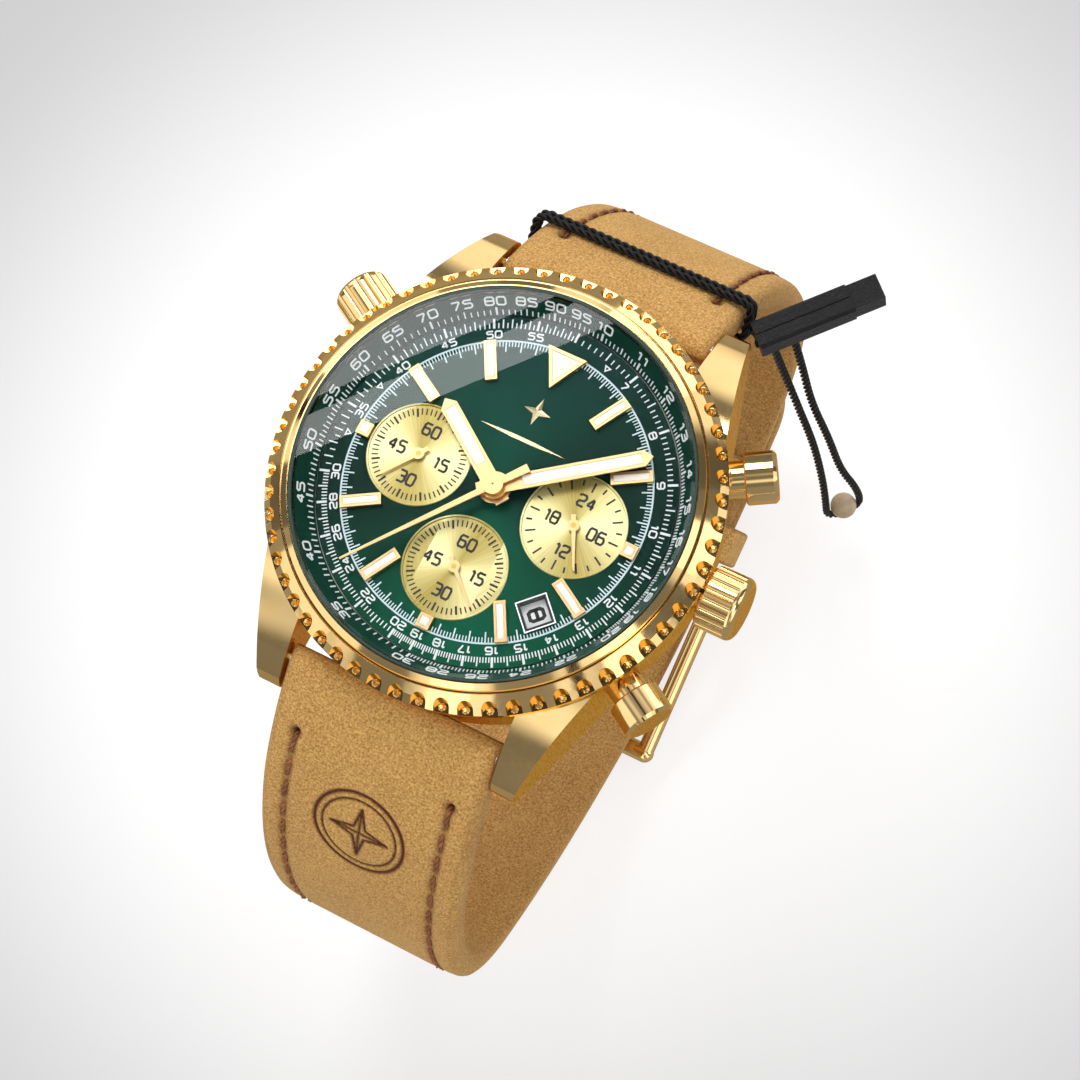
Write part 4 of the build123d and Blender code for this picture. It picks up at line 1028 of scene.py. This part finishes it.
def print_counters():
    """Black numbers and divisions on the three counters, and the pale ring round each."""
    black = Solid()
    rims = Solid()
    for clock, numbers, count in (
        (90.0, ("24", "06", "12", "18"), 24), (180.0, ("60", "15", "30", "45"), 60),
        (270.0, ("60", "15", "30", "45"), 60),
    ):
        x, y = polar(COUNTER_OFFSET, clock)
        for n in range(count):
            place = flat_place(x, y, COUNTER_FACE, 360.0 * n / count)
            long_one = n % (2 if count == 24 else 5) == 0
            if count == 24:
                start, width = (3.45, 0.17) if long_one else (3.85, 0.17)
            else:
                start, width = (3.6, 0.2) if long_one else (3.8, 0.13)
            stroke(black, [(0, start), (0, 4.4)], width, place, 0.015)
        for n, number in enumerate(numbers):
            dx, dy = polar(2.45 if n % 2 == 0 else 2.25, 90.0 * n)
            place = flat_place(x + dx, y + dy, COUNTER_FACE)
            write(black, number, place, 0.0, 1.3, 0.62, 0.17)
        rings = []
        for n in range(120):
            turn = radians(3.0 * n)
            rings.append([
                (x + radius * cos(turn), y + radius * sin(turn), level)
                for radius, level in ((4.71, 7.9), (4.71, 8.03), (4.8, 8.05), (4.88, 8.03), (4.9, 7.99))
            ])
        rims.rings(rings, closed=True)
    make_piece("counter_print", black, BLACK_INK, "case")
    make_piece("counter_rims", rims, CHAMPAGNE, "case", smooth=True)


def print_dates():
    """1 to 31 on the date ring, printed to be read through the window."""
    solid = Solid()
    for day in range(1, 32):
        clock = DATE_CLOCK - (day - DATE_SHOWN) * 360.0 / 31
        x, y = polar(DATE_RADIUS, clock)
        place = flat_place(x, y, 7.5, clock - 90.0)
        write(solid, str(day), place, 0.0, 1.65, 0.72 if day < 10 else 0.5, 0.2 if day < 10 else 0.17)
    make_piece("date_print", solid, BLACK_INK, "date_ring")


def line_date_frame():
    """A bright line round the top of the date window's frame, which is painted dark as shade."""
    solid = Solid()
    x, y = polar(DATE_RADIUS, DATE_CLOCK)
    place = flat_place(x, y, DIAL + 0.2, DATE_CLOCK)
    outer = 1.48
    inner = 1.37
    rings = []
    for sx, sy in ((1, 1), (-1, 1), (-1, -1), (1, -1)):
        rings.append([
            place(sx * outer, sy * outer, -0.005), place(sx * outer, sy * outer, 0.03),
            place(sx * inner, sy * inner, 0.03), place(sx * inner, sy * inner, -0.005),
        ])
    solid.rings(rings, closed=True)
    make_piece("date_frame_line", solid, LINE_STEEL, "case")


def star_outline(outer, inner):
    """A four-pointed star."""
    points = []
    for n in range(8):
        points.append(polar(outer if n % 2 == 0 else inner, 45.0 * n))
    points.append(points[0])
    return points


def apply_emblem():
    """A plain four-pointed star over a tapered bar, where a dial carries its applied mark."""
    solid = Solid()
    center = 8.1
    star = star_outline(1.35, 0.42)[:-1]
    place = flat_place(0.0, center, DIAL)
    hub = place(0, 0, 0.28)
    points = [place(x, y, -0.01) for x, y in star] + [place(x, y, 0.1) for x, y in star] + [hub]
    faces = [list(reversed(range(8)))]
    for n in range(8):
        after = (n + 1) % 8
        faces.append([n, after, 8 + after, 8 + n])
        faces.append([8 + n, 8 + after, 16])
    solid.add(points, faces)
    bar = [(-4.3, 5.2), (-1.2, 5.02), (1.2, 5.02), (4.3, 5.2), (1.2, 5.38), (-1.2, 5.38)]
    level = flat_place(0.0, 0.0, DIAL)
    solid.rings([[level(x, y, lift) for x, y in bar] for lift in (-0.01, 0.14)])
    make_piece("applied_emblem", solid, GOLD_INK, "case")


def fill_markers():
    """White lume in every hour marker's pocket."""
    solid = Solid()
    half = 0.33
    for hour in range(1, 12):
        place = flat_place(0.0, 0.0, MARKER_TOP, 30.0 * hour)
        if hour % 3 == 0:
            outline = rectangle(-0.43, 0.43, MARKER_OUTER - 1.08, MARKER_OUTER - 0.22)
        else:
            outline = rectangle(-half, half, MARKER_OUTER - 3.55, MARKER_OUTER - 0.25)
        filling(solid, outline, place, 0.12)
    side = hypot(3.9 / 2, 3.7)
    inset = 0.3
    apex = MARKER_OUTER - 3.7 + inset * side / (3.9 / 2)
    reach = (MARKER_OUTER - inset - apex) * (3.9 / 2) / 3.7
    triangle = [(-reach, MARKER_OUTER - inset), (reach, MARKER_OUTER - inset), (0.0, apex)]
    filling(solid, triangle, flat_place(0.0, 0.0, MARKER_TOP), 0.12)
    make_piece("marker_lume", solid, LUME, "case", smooth=True)


def fill_hands():
    """White lume in the hour and minute hands."""
    for name, body, clock, width, length, top in (
        ("hour_hand_lume", "hour", HOUR_CLOCK, 1.1, 9.8, 8.8),
        ("minute_hand_lume", "minute", MINUTE_CLOCK, 1.0, 14.5, 9.25),
    ):
        solid = Solid()
        outline = rectangle(-width / 2, width / 2, 2.6, length - 1.0)
        filling(solid, outline, flat_place(0.0, 0.0, top, clock), 0.08)
        make_piece(name, solid, LUME, body, smooth=True)


print_inner_scale()
print_outer_scale()
print_minute_track()
print_counters()
print_dates()
line_date_frame()
apply_emblem()
fill_markers()
fill_hands()


# ---------------------------------------------------------------- strap

BOTTOM_RADIUS = CORNER_RADIUS + CORNER_Y / cos(radians(CORNER_SWEEP))
BOTTOM_CENTER = (0.0, ARCH_CENTER[1] + CORNER_Y * tan(radians(CORNER_SWEEP)))
TAIL_RADIUS = BOTTOM_RADIUS + LAYER_GAP + STRAP_THICKNESS


def crossing_arc():
    """The arc on which the 6 o'clock half crosses to the outside: (centre, radius, starting angle)."""
    direction = (cos(radians(CROSSOVER_ANGLE)), sin(radians(CROSSOVER_ANGLE)))
    away = (BOTTOM_CENTER[0] + CORNER_Y, BOTTOM_CENTER[1] - ARCH_CENTER[1])
    reach = TAIL_RADIUS - CORNER_RADIUS
    shift = (away[0] ** 2 + away[1] ** 2 - reach**2) / (
        2 * (away[0] * direction[0] + away[1] * direction[1] + reach)
    )
    center = (BOTTOM_CENTER[0] - shift * direction[0], BOTTOM_CENTER[1] - shift * direction[1])
    start = degrees(atan2(ARCH_CENTER[1] - center[1], -CORNER_Y - center[0])) % 360.0
    return center, TAIL_RADIUS + shift, start


def near_arcs():
    return [
        (ARCH_CENTER, ARCH_RADIUS, SPRING_BAR_ANGLE, -SPRING_BAR_ANGLE),
        ((CORNER_Y, ARCH_CENTER[1]), CORNER_RADIUS, 0.0, -CORNER_SWEEP),
        (BOTTOM_CENTER, BOTTOM_RADIUS, -CORNER_SWEEP, BUCKLE_ANGLE + CORNER_SWEEP),
    ]


def far_arcs():
    center, radius, start = crossing_arc()
    tail_start = CROSSOVER_ANGLE % 360.0
    tail_end = 360.0 - CORNER_SWEEP
    return [
        (ARCH_CENTER, ARCH_RADIUS, 180.0 - SPRING_BAR_ANGLE, SPRING_BAR_ANGLE),
        ((-CORNER_Y, ARCH_CENTER[1]), CORNER_RADIUS, 180.0, start - 180.0),
        (center, radius, start, tail_start - start),
        (BOTTOM_CENTER, TAIL_RADIUS, tail_start, tail_end - tail_start),
        ((CORNER_Y, ARCH_CENTER[1]), TAIL_RADIUS - BOTTOM_RADIUS + CORNER_RADIUS, tail_end, 25.0),
    ]


class StrapLine:
    """The middle line of one strap half, by its distance from the spring bar."""

    def __init__(self, arcs):
        self.arcs = arcs
        self.lengths = [(radius - STRAP_THICKNESS / 2) * radians(abs(sweep)) for _, radius, _, sweep in arcs]
        self.total = sum(self.lengths)

    def at(self, distance):
        """(point on the middle line, outward normal, tangent), each in the YZ plane."""
        rest = max(0.0, min(distance, self.total))
        for (center, radius, start, sweep), length in zip(self.arcs, self.lengths):
            if rest <= length or (center, radius, start, sweep) == self.arcs[-1]:
                angle = radians(start + sweep * min(rest / length, 1.0))
                break
            rest -= length
        turn = 1.0 if sweep > 0 else -1.0
        out = Vector((0.0, cos(angle), sin(angle)))
        along = Vector((0.0, -sin(angle), cos(angle))) * turn
        middle = Vector((0.0, *center)) + out * (radius - STRAP_THICKNESS / 2)
        if distance < 0.0:
            middle += along * distance
        return middle, out, along


def strap_half_width(level):
    """Half the strap's width, by its height: full at the lugs, narrower at the buckle."""
    share = max(0.0, min((-5.0 - level) / 41.0, 1.0))
    return 10.8 - 0.8 * share


def bell(value, spread):
    return exp(-((value / spread) ** 2))


class Relief:
    """What is pressed into a strap half's outer face: stitch channels, their holes and the emblem."""

    def __init__(self, stitch_start, stitch_end, emblem=None):
        self.stitch_start = stitch_start
        self.stitch_end = stitch_end
        self.emblem = emblem
        self.segments = []
        if emblem is not None:
            star = star_outline(3.0, 0.85)
            self.segments = list(zip(star, star[1:]))
            self.segments += [((0.0, 0.0), point) for point in star[:-1:2]]

    def line(self, half_width):
        return half_width - 2.7

    def at(self, distance, x, half_width):
        """(depth in millimetres, how dark) at a place on the outer face."""
        off = abs(x) - self.line(half_width)
        inside = min(distance - self.stitch_start, self.stitch_end - distance)
        channel = bell(off, 0.42) * max(0.0, min(inside / 0.6 + 0.5, 1.0))
        hole = bell(hypot(off, distance - self.stitch_start), 0.5)
        depth = 0.34 * channel + 0.75 * hole
        # How dark: the channels partly as compressed nubuck and partly as painted shade, the pits as painted
        # shade.
        dark = 0.45 * channel + hole
        depth += 0.22 * max(0.0, min((off - 0.4) / 2.0, 1.0))
        if self.emblem is not None:
            dy = self.emblem - distance
            spot = hypot(x, dy)
            if spot < 5.6:
                near = min(abs(spot - 4.7), abs(spot - 3.9) * 1.6)
                for (ax, ay), (bx, by) in self.segments:
                    ex = bx - ax
                    ey = by - ay
                    share = ((x - ax) * ex + (dy - ay) * ey) / (ex * ex + ey * ey)
                    share = max(0.0, min(share, 1.0))
                    near = min(near, 1.3 * hypot(x - ax - share * ex, dy - ay - share * ey))
                groove = bell(near, 0.2)
                depth += 0.16 * groove
                # The emblem's grooves darken partly as compressed nubuck, partly as painted shade.
                dark = max(dark, min(1.5 * groove, 1.0))
        return depth, min(dark, 1.0)


def steps(start, end, step):
    count = max(1, ceil((end - start) / step))
    return [start + (end - start) * n / count for n in range(count)]


def strap_rows(line, relief, tip):
    """The distances at which the strap has a row of points, closer together where the emblem is."""
    rows = [-STRAP_THICKNESS / 2 * cos(radians(angle)) for angle in (4, 15, 30, 45, 60, 75)]
    end = line.total
    fine = []
    if relief.emblem is not None:
        fine = [(relief.emblem - 5.6, relief.emblem + 5.6)]
    hole = relief.stitch_start
    rows += steps(0.0, hole - 1.2, 0.6) + steps(hole - 1.2, hole + 1.2, 0.2)
    here = hole + 1.2
    for low, high in fine:
        rows += steps(here, low, 0.6) + steps(low, high, 0.14)
        here = high
    rows += steps(here, end - tip, 0.6) if tip else steps(here, end + 0.001, 0.6)
    if tip:
        rows += [end - tip * (1 - sin(radians(angle))) for angle in range(0, 88, 4)] + [end - 0.004]
    return rows


def strap_columns(half_width, edge, fine):
    """The places across the outer face, as shares of the flat width between its rounded edges."""
    flat = half_width - edge
    inner = 5.6 if fine else 0.0
    half = [n * 0.14 for n in range(int(inner / 0.14))] if fine else []
    start = half[-1] + 0.14 if half else 0.0
    half += steps(start, flat, 0.24)
    half = [value / flat for value in half] + [1.0]
    return [-value for value in reversed(half[1:])] + half


def make_strap(name, node, arcs, relief, tip, round_ends):
    """One half of the strap as a padded section swept along its line, with its pressed-in relief."""
    line = StrapLine(arcs)
    edge = 0.95
    shares = strap_columns(10.8, edge, relief.emblem is not None)
    solid = Solid()
    darkness = []
    rings = []
    for distance in strap_rows(line, relief, tip):
        middle, out, _ = line.at(distance)
        half_width = strap_half_width(middle.z)
        half_thick = STRAP_THICKNESS / 2
        bar = half_thick
        if distance < 0.0:
            half_thick = sqrt(max(bar * bar - distance * distance, 0.0001))
        if round_ends and distance > line.total - bar:
            past = distance - (line.total - bar)
            half_thick = sqrt(max(bar * bar - past * past, 0.01))
        if tip and distance > line.total - tip:
            past = (distance - line.total + tip) / tip
            half_width = max(half_width * sqrt(max(1.0 - past**2.4, 0.0)), edge + 0.05)
            half_thick *= 1.0 - 0.25 * past**6
        wall = min(edge, half_thick * 0.9)
        flat = half_width - wall
        lift = half_thick / bar
        ring = []
        # Painted shade: a little on the rounded edges, and more on the underside.
        for angle in (18, 45, 72):
            turn = radians(angle)
            ring.append((-flat - wall * cos(turn), half_thick - wall + wall * sin(turn) - 0.18, 0.12))
        for share in shares:
            x = share * flat
            depth, dark = relief.at(distance, x, half_width)
            ring.append((x, half_thick - depth * lift, dark))
        for angle in (72, 45, 18):
            turn = radians(angle)
            ring.append((flat + wall * cos(turn), half_thick - wall + wall * sin(turn) - 0.18, 0.12))
        low = 0.45 * wall
        edge_x = flat + wall * 0.98
        corner_x = flat + wall - low
        for x in (edge_x, corner_x, flat * 0.5, -flat * 0.5, -corner_x, -edge_x):
            height = -half_thick + (low if abs(x) > flat + wall * 0.9 else 0.0)
            ring.append((x, height, 0.25))
        darkness += [value[2] for value in ring]
        rings.append([Vector((x, 0.0, 0.0)) + middle + out * height for x, height, _ in ring])
    solid.rings(rings)
    strap = make_piece(name, solid, NUBUCK, "case", smooth=True)
    attribute = strap.data.attributes.new("pressed_and_shaded", "FLOAT", "POINT")
    attribute.data.foreach_set("value", darkness)
    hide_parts(node)
    return strap, line


def punch(strap, cutters):
    """Cuts holes right through a strap half."""
    solid = Solid()
    for points, faces in cutters:
        solid.add(points, faces)
    cutter = bpy.data.objects.new("punch", solid_mesh("punch", solid))
    bpy.context.scene.collection.objects.link(cutter)
    cut = strap.modifiers.new("holes", "BOOLEAN")
    cut.operation = "DIFFERENCE"
    cut.solver = "MANIFOLD"
    cut.object = cutter
    bpy.context.view_layer.update()
    finished = bpy.data.meshes.new_from_object(strap.evaluated_get(bpy.context.evaluated_depsgraph_get()))
    strap.modifiers.clear()
    strap.data = finished
    bpy.data.objects.remove(cutter)


def through_hole(line, distance, across, along_half, rounded_ends=16):
    """An oval cutter through the strap: half its width across, half its length along."""
    middle, out, along = line.at(distance)
    rings = []
    for lift in (-4.0, 4.0):
        ring = []
        for n in range(rounded_ends):
            turn = 2 * pi * n / rounded_ends
            side = across * cos(turn)
            run = across * sin(turn)
            run += (along_half - across) * (1 if run > 0 else -1)
            ring.append(middle + Vector((side, 0.0, 0.0)) + along * run + out * lift)
        rings.append(ring)
    solid = Solid()
    solid.rings(rings)
    return solid.points, solid.faces


def sew(name, line, relief):
    """Two rows of stitches along a strap half, each stitch two plies of thread that dip into the leather."""
    solid = Solid()
    length = 2.35
    pitch = 2.75
    count = int((relief.stitch_end - relief.stitch_start - 0.4) / pitch)
    for side in (-1, 1):
        for n in range(count):
            start = relief.stitch_start + 0.3 + n * pitch
            points = []
            for share, lift, slant in (
                (0.0, -0.8, -0.1), (0.1, -0.22, -0.08), (0.5, -0.06, 0.0),
                (0.9, -0.22, 0.08), (1.0, -0.8, 0.1),
            ):
                middle, out, _ = line.at(start + length * share)
                x = side * (relief.line(strap_half_width(middle.z)) + slant)
                points.append(Vector((x, 0.0, 0.0)) + middle + out * (STRAP_THICKNESS / 2 + lift))
            twist(solid, points, 0.26, 2, 1.5, sides=6, step=0.25)
    make_piece(name, solid, THREAD, "case", smooth=True)


def make_keeper(name, node, angle, body):
    """A leather loop round both layers of the strap."""
    wall = 1.1
    across = 10.45 + wall / 2
    inner = BOTTOM_RADIUS - STRAP_THICKNESS - 0.2 - wall / 2
    outer = TAIL_RADIUS + 0.2 + wall / 2
    half_run = radians(3.2) / 2 * (inner + outer) / 2
    corner = 1.2
    out = Vector((0.0, cos(radians(angle)), sin(radians(angle))))
    along = Vector((0.0, -sin(radians(angle)), cos(radians(angle))))
    center = Vector((0.0, *BOTTOM_CENTER)) + out * (inner + outer) / 2
    half_through = (outer - inner) / 2
    path = []
    for sx, sh, start in ((1, 1, 0), (-1, 1, 90), (-1, -1, 180), (1, -1, 270)):
        for n in range(7):
            turn = radians(start + 15.0 * n)
            facing = Vector((cos(turn), 0.0, 0.0)) + out * sin(turn)
            x = sx * (across - corner) + corner * cos(turn)
            height = sh * (half_through - corner) + corner * sin(turn)
            path.append((center + Vector((x, 0.0, 0.0)) + out * height, facing))
    rings = []
    profile = []
    for sr, st, start in ((1, 1, 0), (-1, 1, 90), (-1, -1, 180), (1, -1, 270)):
        for n in range(4):
            turn = radians(start + 30.0 * n)
            profile.append((
                sr * (half_run - 0.4) + 0.4 * cos(turn),
                st * (wall / 2 - 0.4) + 0.4 * sin(turn),
            ))
    for point, facing in path:
        rings.append([point + along * run + facing * height for run, height in profile])
    solid = Solid()
    solid.rings(rings, closed=True)
    keeper = make_piece(name, solid, NUBUCK, body, smooth=True)
    attribute = keeper.data.attributes.new("pressed_and_shaded", "FLOAT", "POINT")
    # Painted shade along the keeper's edges.
    edge_shade = [0.3 if abs(run) > half_run - 0.25 else 0.0 for run, _ in profile] * len(path)
    attribute.data.foreach_set("value", edge_shade)
    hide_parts(node)


def make_straps():
    """Both strap halves with their holes and stitching, and the two keepers."""
    near_relief = Relief(6.15, 78.0)
    near, near_line = make_strap("strap_upper_half", "strap_12", near_arcs(), near_relief, 0.0, True)
    punch(near, [through_hole(near_line, near_line.total, 1.3, 3.4)])
    far_relief = Relief(6.15, 148.0, emblem=13.9)
    far, far_line = make_strap("strap_lower_half", "strap_6", far_arcs(), far_relief, 9.0, False)
    _, radius, start = crossing_arc()
    holes = []
    for angle, across, along_half in (
        (-86.75, 1.0, 3.7), (-99.0, 0.9, 0.91), (-105.0, 0.9, 0.91), (-111.0, 0.9, 0.91),
    ):
        run = radians(angle % 360.0 - start) * (radius - STRAP_THICKNESS / 2)
        holes.append(through_hole(far_line, sum(far_line.lengths[:2]) + run, across, along_half))
    punch(far, holes)
    sew("stitches_upper", near_line, near_relief)
    sew("stitches_lower", far_line, far_relief)
    make_keeper("keeper_fixed", "fixed_keeper", -77.0, "case")
    make_keeper("keeper_free", "free_keeper", -71.0, "free_keeper")


make_straps()


# ---------------------------------------------------------------- floor, cards and lights

FLOOR_LEVEL = -52.4


def stage_plane(name, corners, material):
    """A flat four-cornered piece of the stage, its corners in millimetres."""
    mesh = bpy.data.meshes.new(name)
    mesh.from_pydata([Vector(corner) * MM for corner in corners], [], [[0, 1, 2, 3]])
    mesh.materials.append(material)
    plane = bpy.data.objects.new(name, mesh)
    bpy.context.scene.collection.objects.link(plane)
    return plane


def floor_material():
    """A matt pale floor with a painted pool of light: whitest under the watch and a soft grey further out."""
    material, tree, shader = new_material("floor")
    from_center = tree.vector("SUBTRACT", tree.place(), (-0.01, 0.009, 0.0))
    around = tree.vector("MULTIPLY", from_center, (1.0, 1.0, 0.0))
    distance = tree.vector("LENGTH", around)
    # Painted pool of light: colour and glow fade from white under the watch to grey further out.
    shade = tree.add(
        "ShaderNodeMapRange",
        {"Value": distance, "From Min": 0.028, "From Max": 0.1, "To Min": 0.0, "To Max": 1.0},
        interpolation_type="SMOOTHSTEP",
    ).outputs["Result"]
    join(
        tree, shader,
        Base_Color=tree.mix(shade, (0.94, 0.94, 0.945, 1.0), (0.5, 0.5, 0.505, 1.0)),
        Roughness=0.9,
        Specular_IOR_Level=0.1,
    )
    rays = tree.add("ShaderNodeLightPath")
    seen = tree.math("MAXIMUM", rays.outputs["Is Camera Ray"], rays.outputs["Is Glossy Ray"])
    seen = tree.math("MAXIMUM", seen, rays.outputs["Is Transmission Ray"])
    painted_pool_glow = tree.range(shade, 0.0, 1.0, 1.22, 0.66)
    painted_pool_glow = tree.math("MULTIPLY", painted_pool_glow, tree.range(rays.outputs["Is Glossy Ray"], 0.0, 1.0, 1.0, 0.25))
    pale = tree.add("ShaderNodeEmission", {"Strength": painted_pool_glow})
    half_seen = tree.math("MULTIPLY", seen, 0.55)
    mixed = tree.add("ShaderNodeMixShader", {0: half_seen, 1: shader.outputs[0], 2: pale.outputs[0]})
    output = next(node for node in tree.tree.nodes if node.type == "OUTPUT_MATERIAL")
    tree.tree.links.new(mixed.outputs[0], output.inputs["Surface"])
    return material


def glow_material(name, strength):
    material = bpy.data.materials.new(name)
    material.use_nodes = True
    material.node_tree.nodes.clear()
    tree = Tree(material.node_tree)
    light = tree.add("ShaderNodeEmission", {"Strength": strength})
    tree.add("ShaderNodeOutputMaterial", {"Surface": light.outputs[0]})
    return material


def card(name, direction, distance, width, height, strength, turn=0.0):
    """A flat card that faces the watch and that only polished things reflect."""
    toward = Vector(direction).normalized()
    side = toward.cross(Vector((0.0, 0.0, 1.0))).normalized()
    up = side.cross(toward)
    first = side * cos(radians(turn)) + up * sin(radians(turn))
    second = up * cos(radians(turn)) - side * sin(radians(turn))
    center = toward * distance + Vector((0.0, 0.0, 8.0))
    corners = [
        center + first * sx * width / 2 + second * sy * height / 2
        for sx, sy in ((-1, -1), (1, -1), (1, 1), (-1, 1))
    ]
    made = stage_plane(name, corners, glow_material(name, strength))
    made.visible_camera = False
    made.visible_diffuse = False
    made.visible_shadow = False
    return made


def horizon_cards():
    """Bright and dark cards round the horizon, which the bezel, crowns and lugs reflect as bands."""
    distance = 600.0
    for n, (clock, span, low, high, strength) in enumerate((
        (5.0, 30.0, -4.0, 34.0, 2.2), (42.0, 14.0, -2.0, 30.0, 0.12), (68.0, 16.0, -2.0, 32.0, 1.9),
        (88.0, 12.0, -2.0, 26.0, 0.16), (112.0, 16.0, 0.0, 40.0, 1.9), (131.0, 5.0, 2.0, 36.0, 0.02),
        (150.0, 20.0, 0.0, 34.0, 0.3), (176.0, 14.0, 0.0, 40.0, 1.8), (200.0, 18.0, -2.0, 26.0, 0.22),
        (232.0, 26.0, -4.0, 22.0, 1.2), (258.0, 16.0, -4.0, 26.0, 0.14), (278.0, 5.0, -4.0, 20.0, 0.02),
        (300.0, 28.0, -6.0, 26.0, 2.1), (331.0, 12.0, -6.0, 24.0, 0.18),
    )):
        middle = radians((low + high) / 2)
        x, y = polar(cos(middle), clock)
        width = 2 * distance * cos(middle) * tan(radians(span / 2))
        height = 2 * distance * tan(radians((high - low) / 2))
        card(f"horizon_card_{n}", (x, y, sin(middle)), distance, width, height, strength)


def overhead_cards():
    """A dark card where the crystal mirrors the camera, and two strips before it that streak the glass."""
    glass_top = 11.5
    camera = bpy.context.scene.camera.location / MM
    mirrored = Vector((camera.x, camera.y, 2 * glass_top - camera.z))
    level = 420.0

    def seen_at(x, y, height):
        """The place at a height that the camera sees mirrored at a point of the glass."""
        point = Vector((x, y, glass_top))
        return point + (point - mirrored) * (height - glass_top) / (glass_top - mirrored.z)

    half = 24.0
    dark = stage_plane(
        "dark_card",
        [seen_at(x, y, level + 6.0) for x, y in ((-half, -half), (half, -half), (half, half), (-half, half))],
        glow_material("dark_card", 0.03),
    )
    strips = []
    for n, (near, far) in enumerate(((9.0, 12.3), (13.6, 19.5))):
        tilt = radians(139.0)
        along = (cos(tilt - pi / 2), sin(tilt - pi / 2))
        across = (cos(tilt), sin(tilt))
        corners = []
        for reach, run in ((near, -22.0), (near, 22.0), (far, 22.0), (far, -22.0)):
            x = across[0] * reach + along[0] * run
            y = across[1] * reach + along[1] * run
            corners.append(seen_at(x, y, level))
        strips.append(stage_plane(f"strip_light_{n}", corners, glow_material(f"strip_light_{n}", 4.4)))
    for made in (dark, *strips):
        made.visible_camera = False
        made.visible_diffuse = False
        made.visible_shadow = False


def area_light(name, direction, distance, size, power):
    """A round soft light that shines on the watch from a direction."""
    lamp = bpy.data.lights.new(name, "AREA")
    lamp.shape = "DISK"
    lamp.size = size * MM
    lamp.energy = power
    holder = bpy.data.objects.new(name, lamp)
    toward = Vector(direction).normalized()
    holder.location = toward * distance * MM
    holder.rotation_mode = "QUATERNION"
    holder.rotation_quaternion = toward.to_track_quat("Z", "Y")
    holder.visible_camera = False
    bpy.context.scene.collection.objects.link(holder)


def light_world():
    """An even pale room; polished things mirror it as soft bright and dark patches."""
    world = bpy.data.worlds.new("studio")
    bpy.context.scene.world = world
    world.use_nodes = True
    world.node_tree.nodes.clear()
    tree = Tree(world.node_tree)
    rays = tree.add("ShaderNodeLightPath")
    seen = tree.math("MAXIMUM", rays.outputs["Is Camera Ray"], rays.outputs["Is Transmission Ray"])
    plain = tree.range(seen, 0.0, 1.0, 0.85, 0.9)
    direction = tree.add("ShaderNodeTexCoord").outputs["Generated"]
    patches = tree.range(tree.noise(direction, 2.6, 0.0), 0.4, 0.6, 0.2, 1.2)
    strength = tree.add(
        "ShaderNodeMix", {0: rays.outputs["Is Glossy Ray"], 2: plain, 3: patches}, data_type="FLOAT",
    ).outputs[0]
    back = tree.add("ShaderNodeBackground", {"Color": (1.0, 1.0, 1.0, 1.0), "Strength": strength})
    tree.add("ShaderNodeOutputWorld", {"Surface": back.outputs[0]})


def set_stage():
    far = 3000.0
    stage_plane(
        "floor",
        [(x * far, y * far, FLOOR_LEVEL) for x, y in ((-1, -1), (1, -1), (1, 1), (-1, 1))],
        floor_material(),
    )
    horizon_cards()
    overhead_cards()
    area_light("key_light", (-0.45, 0.5, 0.9), 800.0, 420.0, 2.6)
    area_light("fill_light", (0.75, -0.2, 0.8), 900.0, 300.0, 0.6)
    light_world()


set_stage()
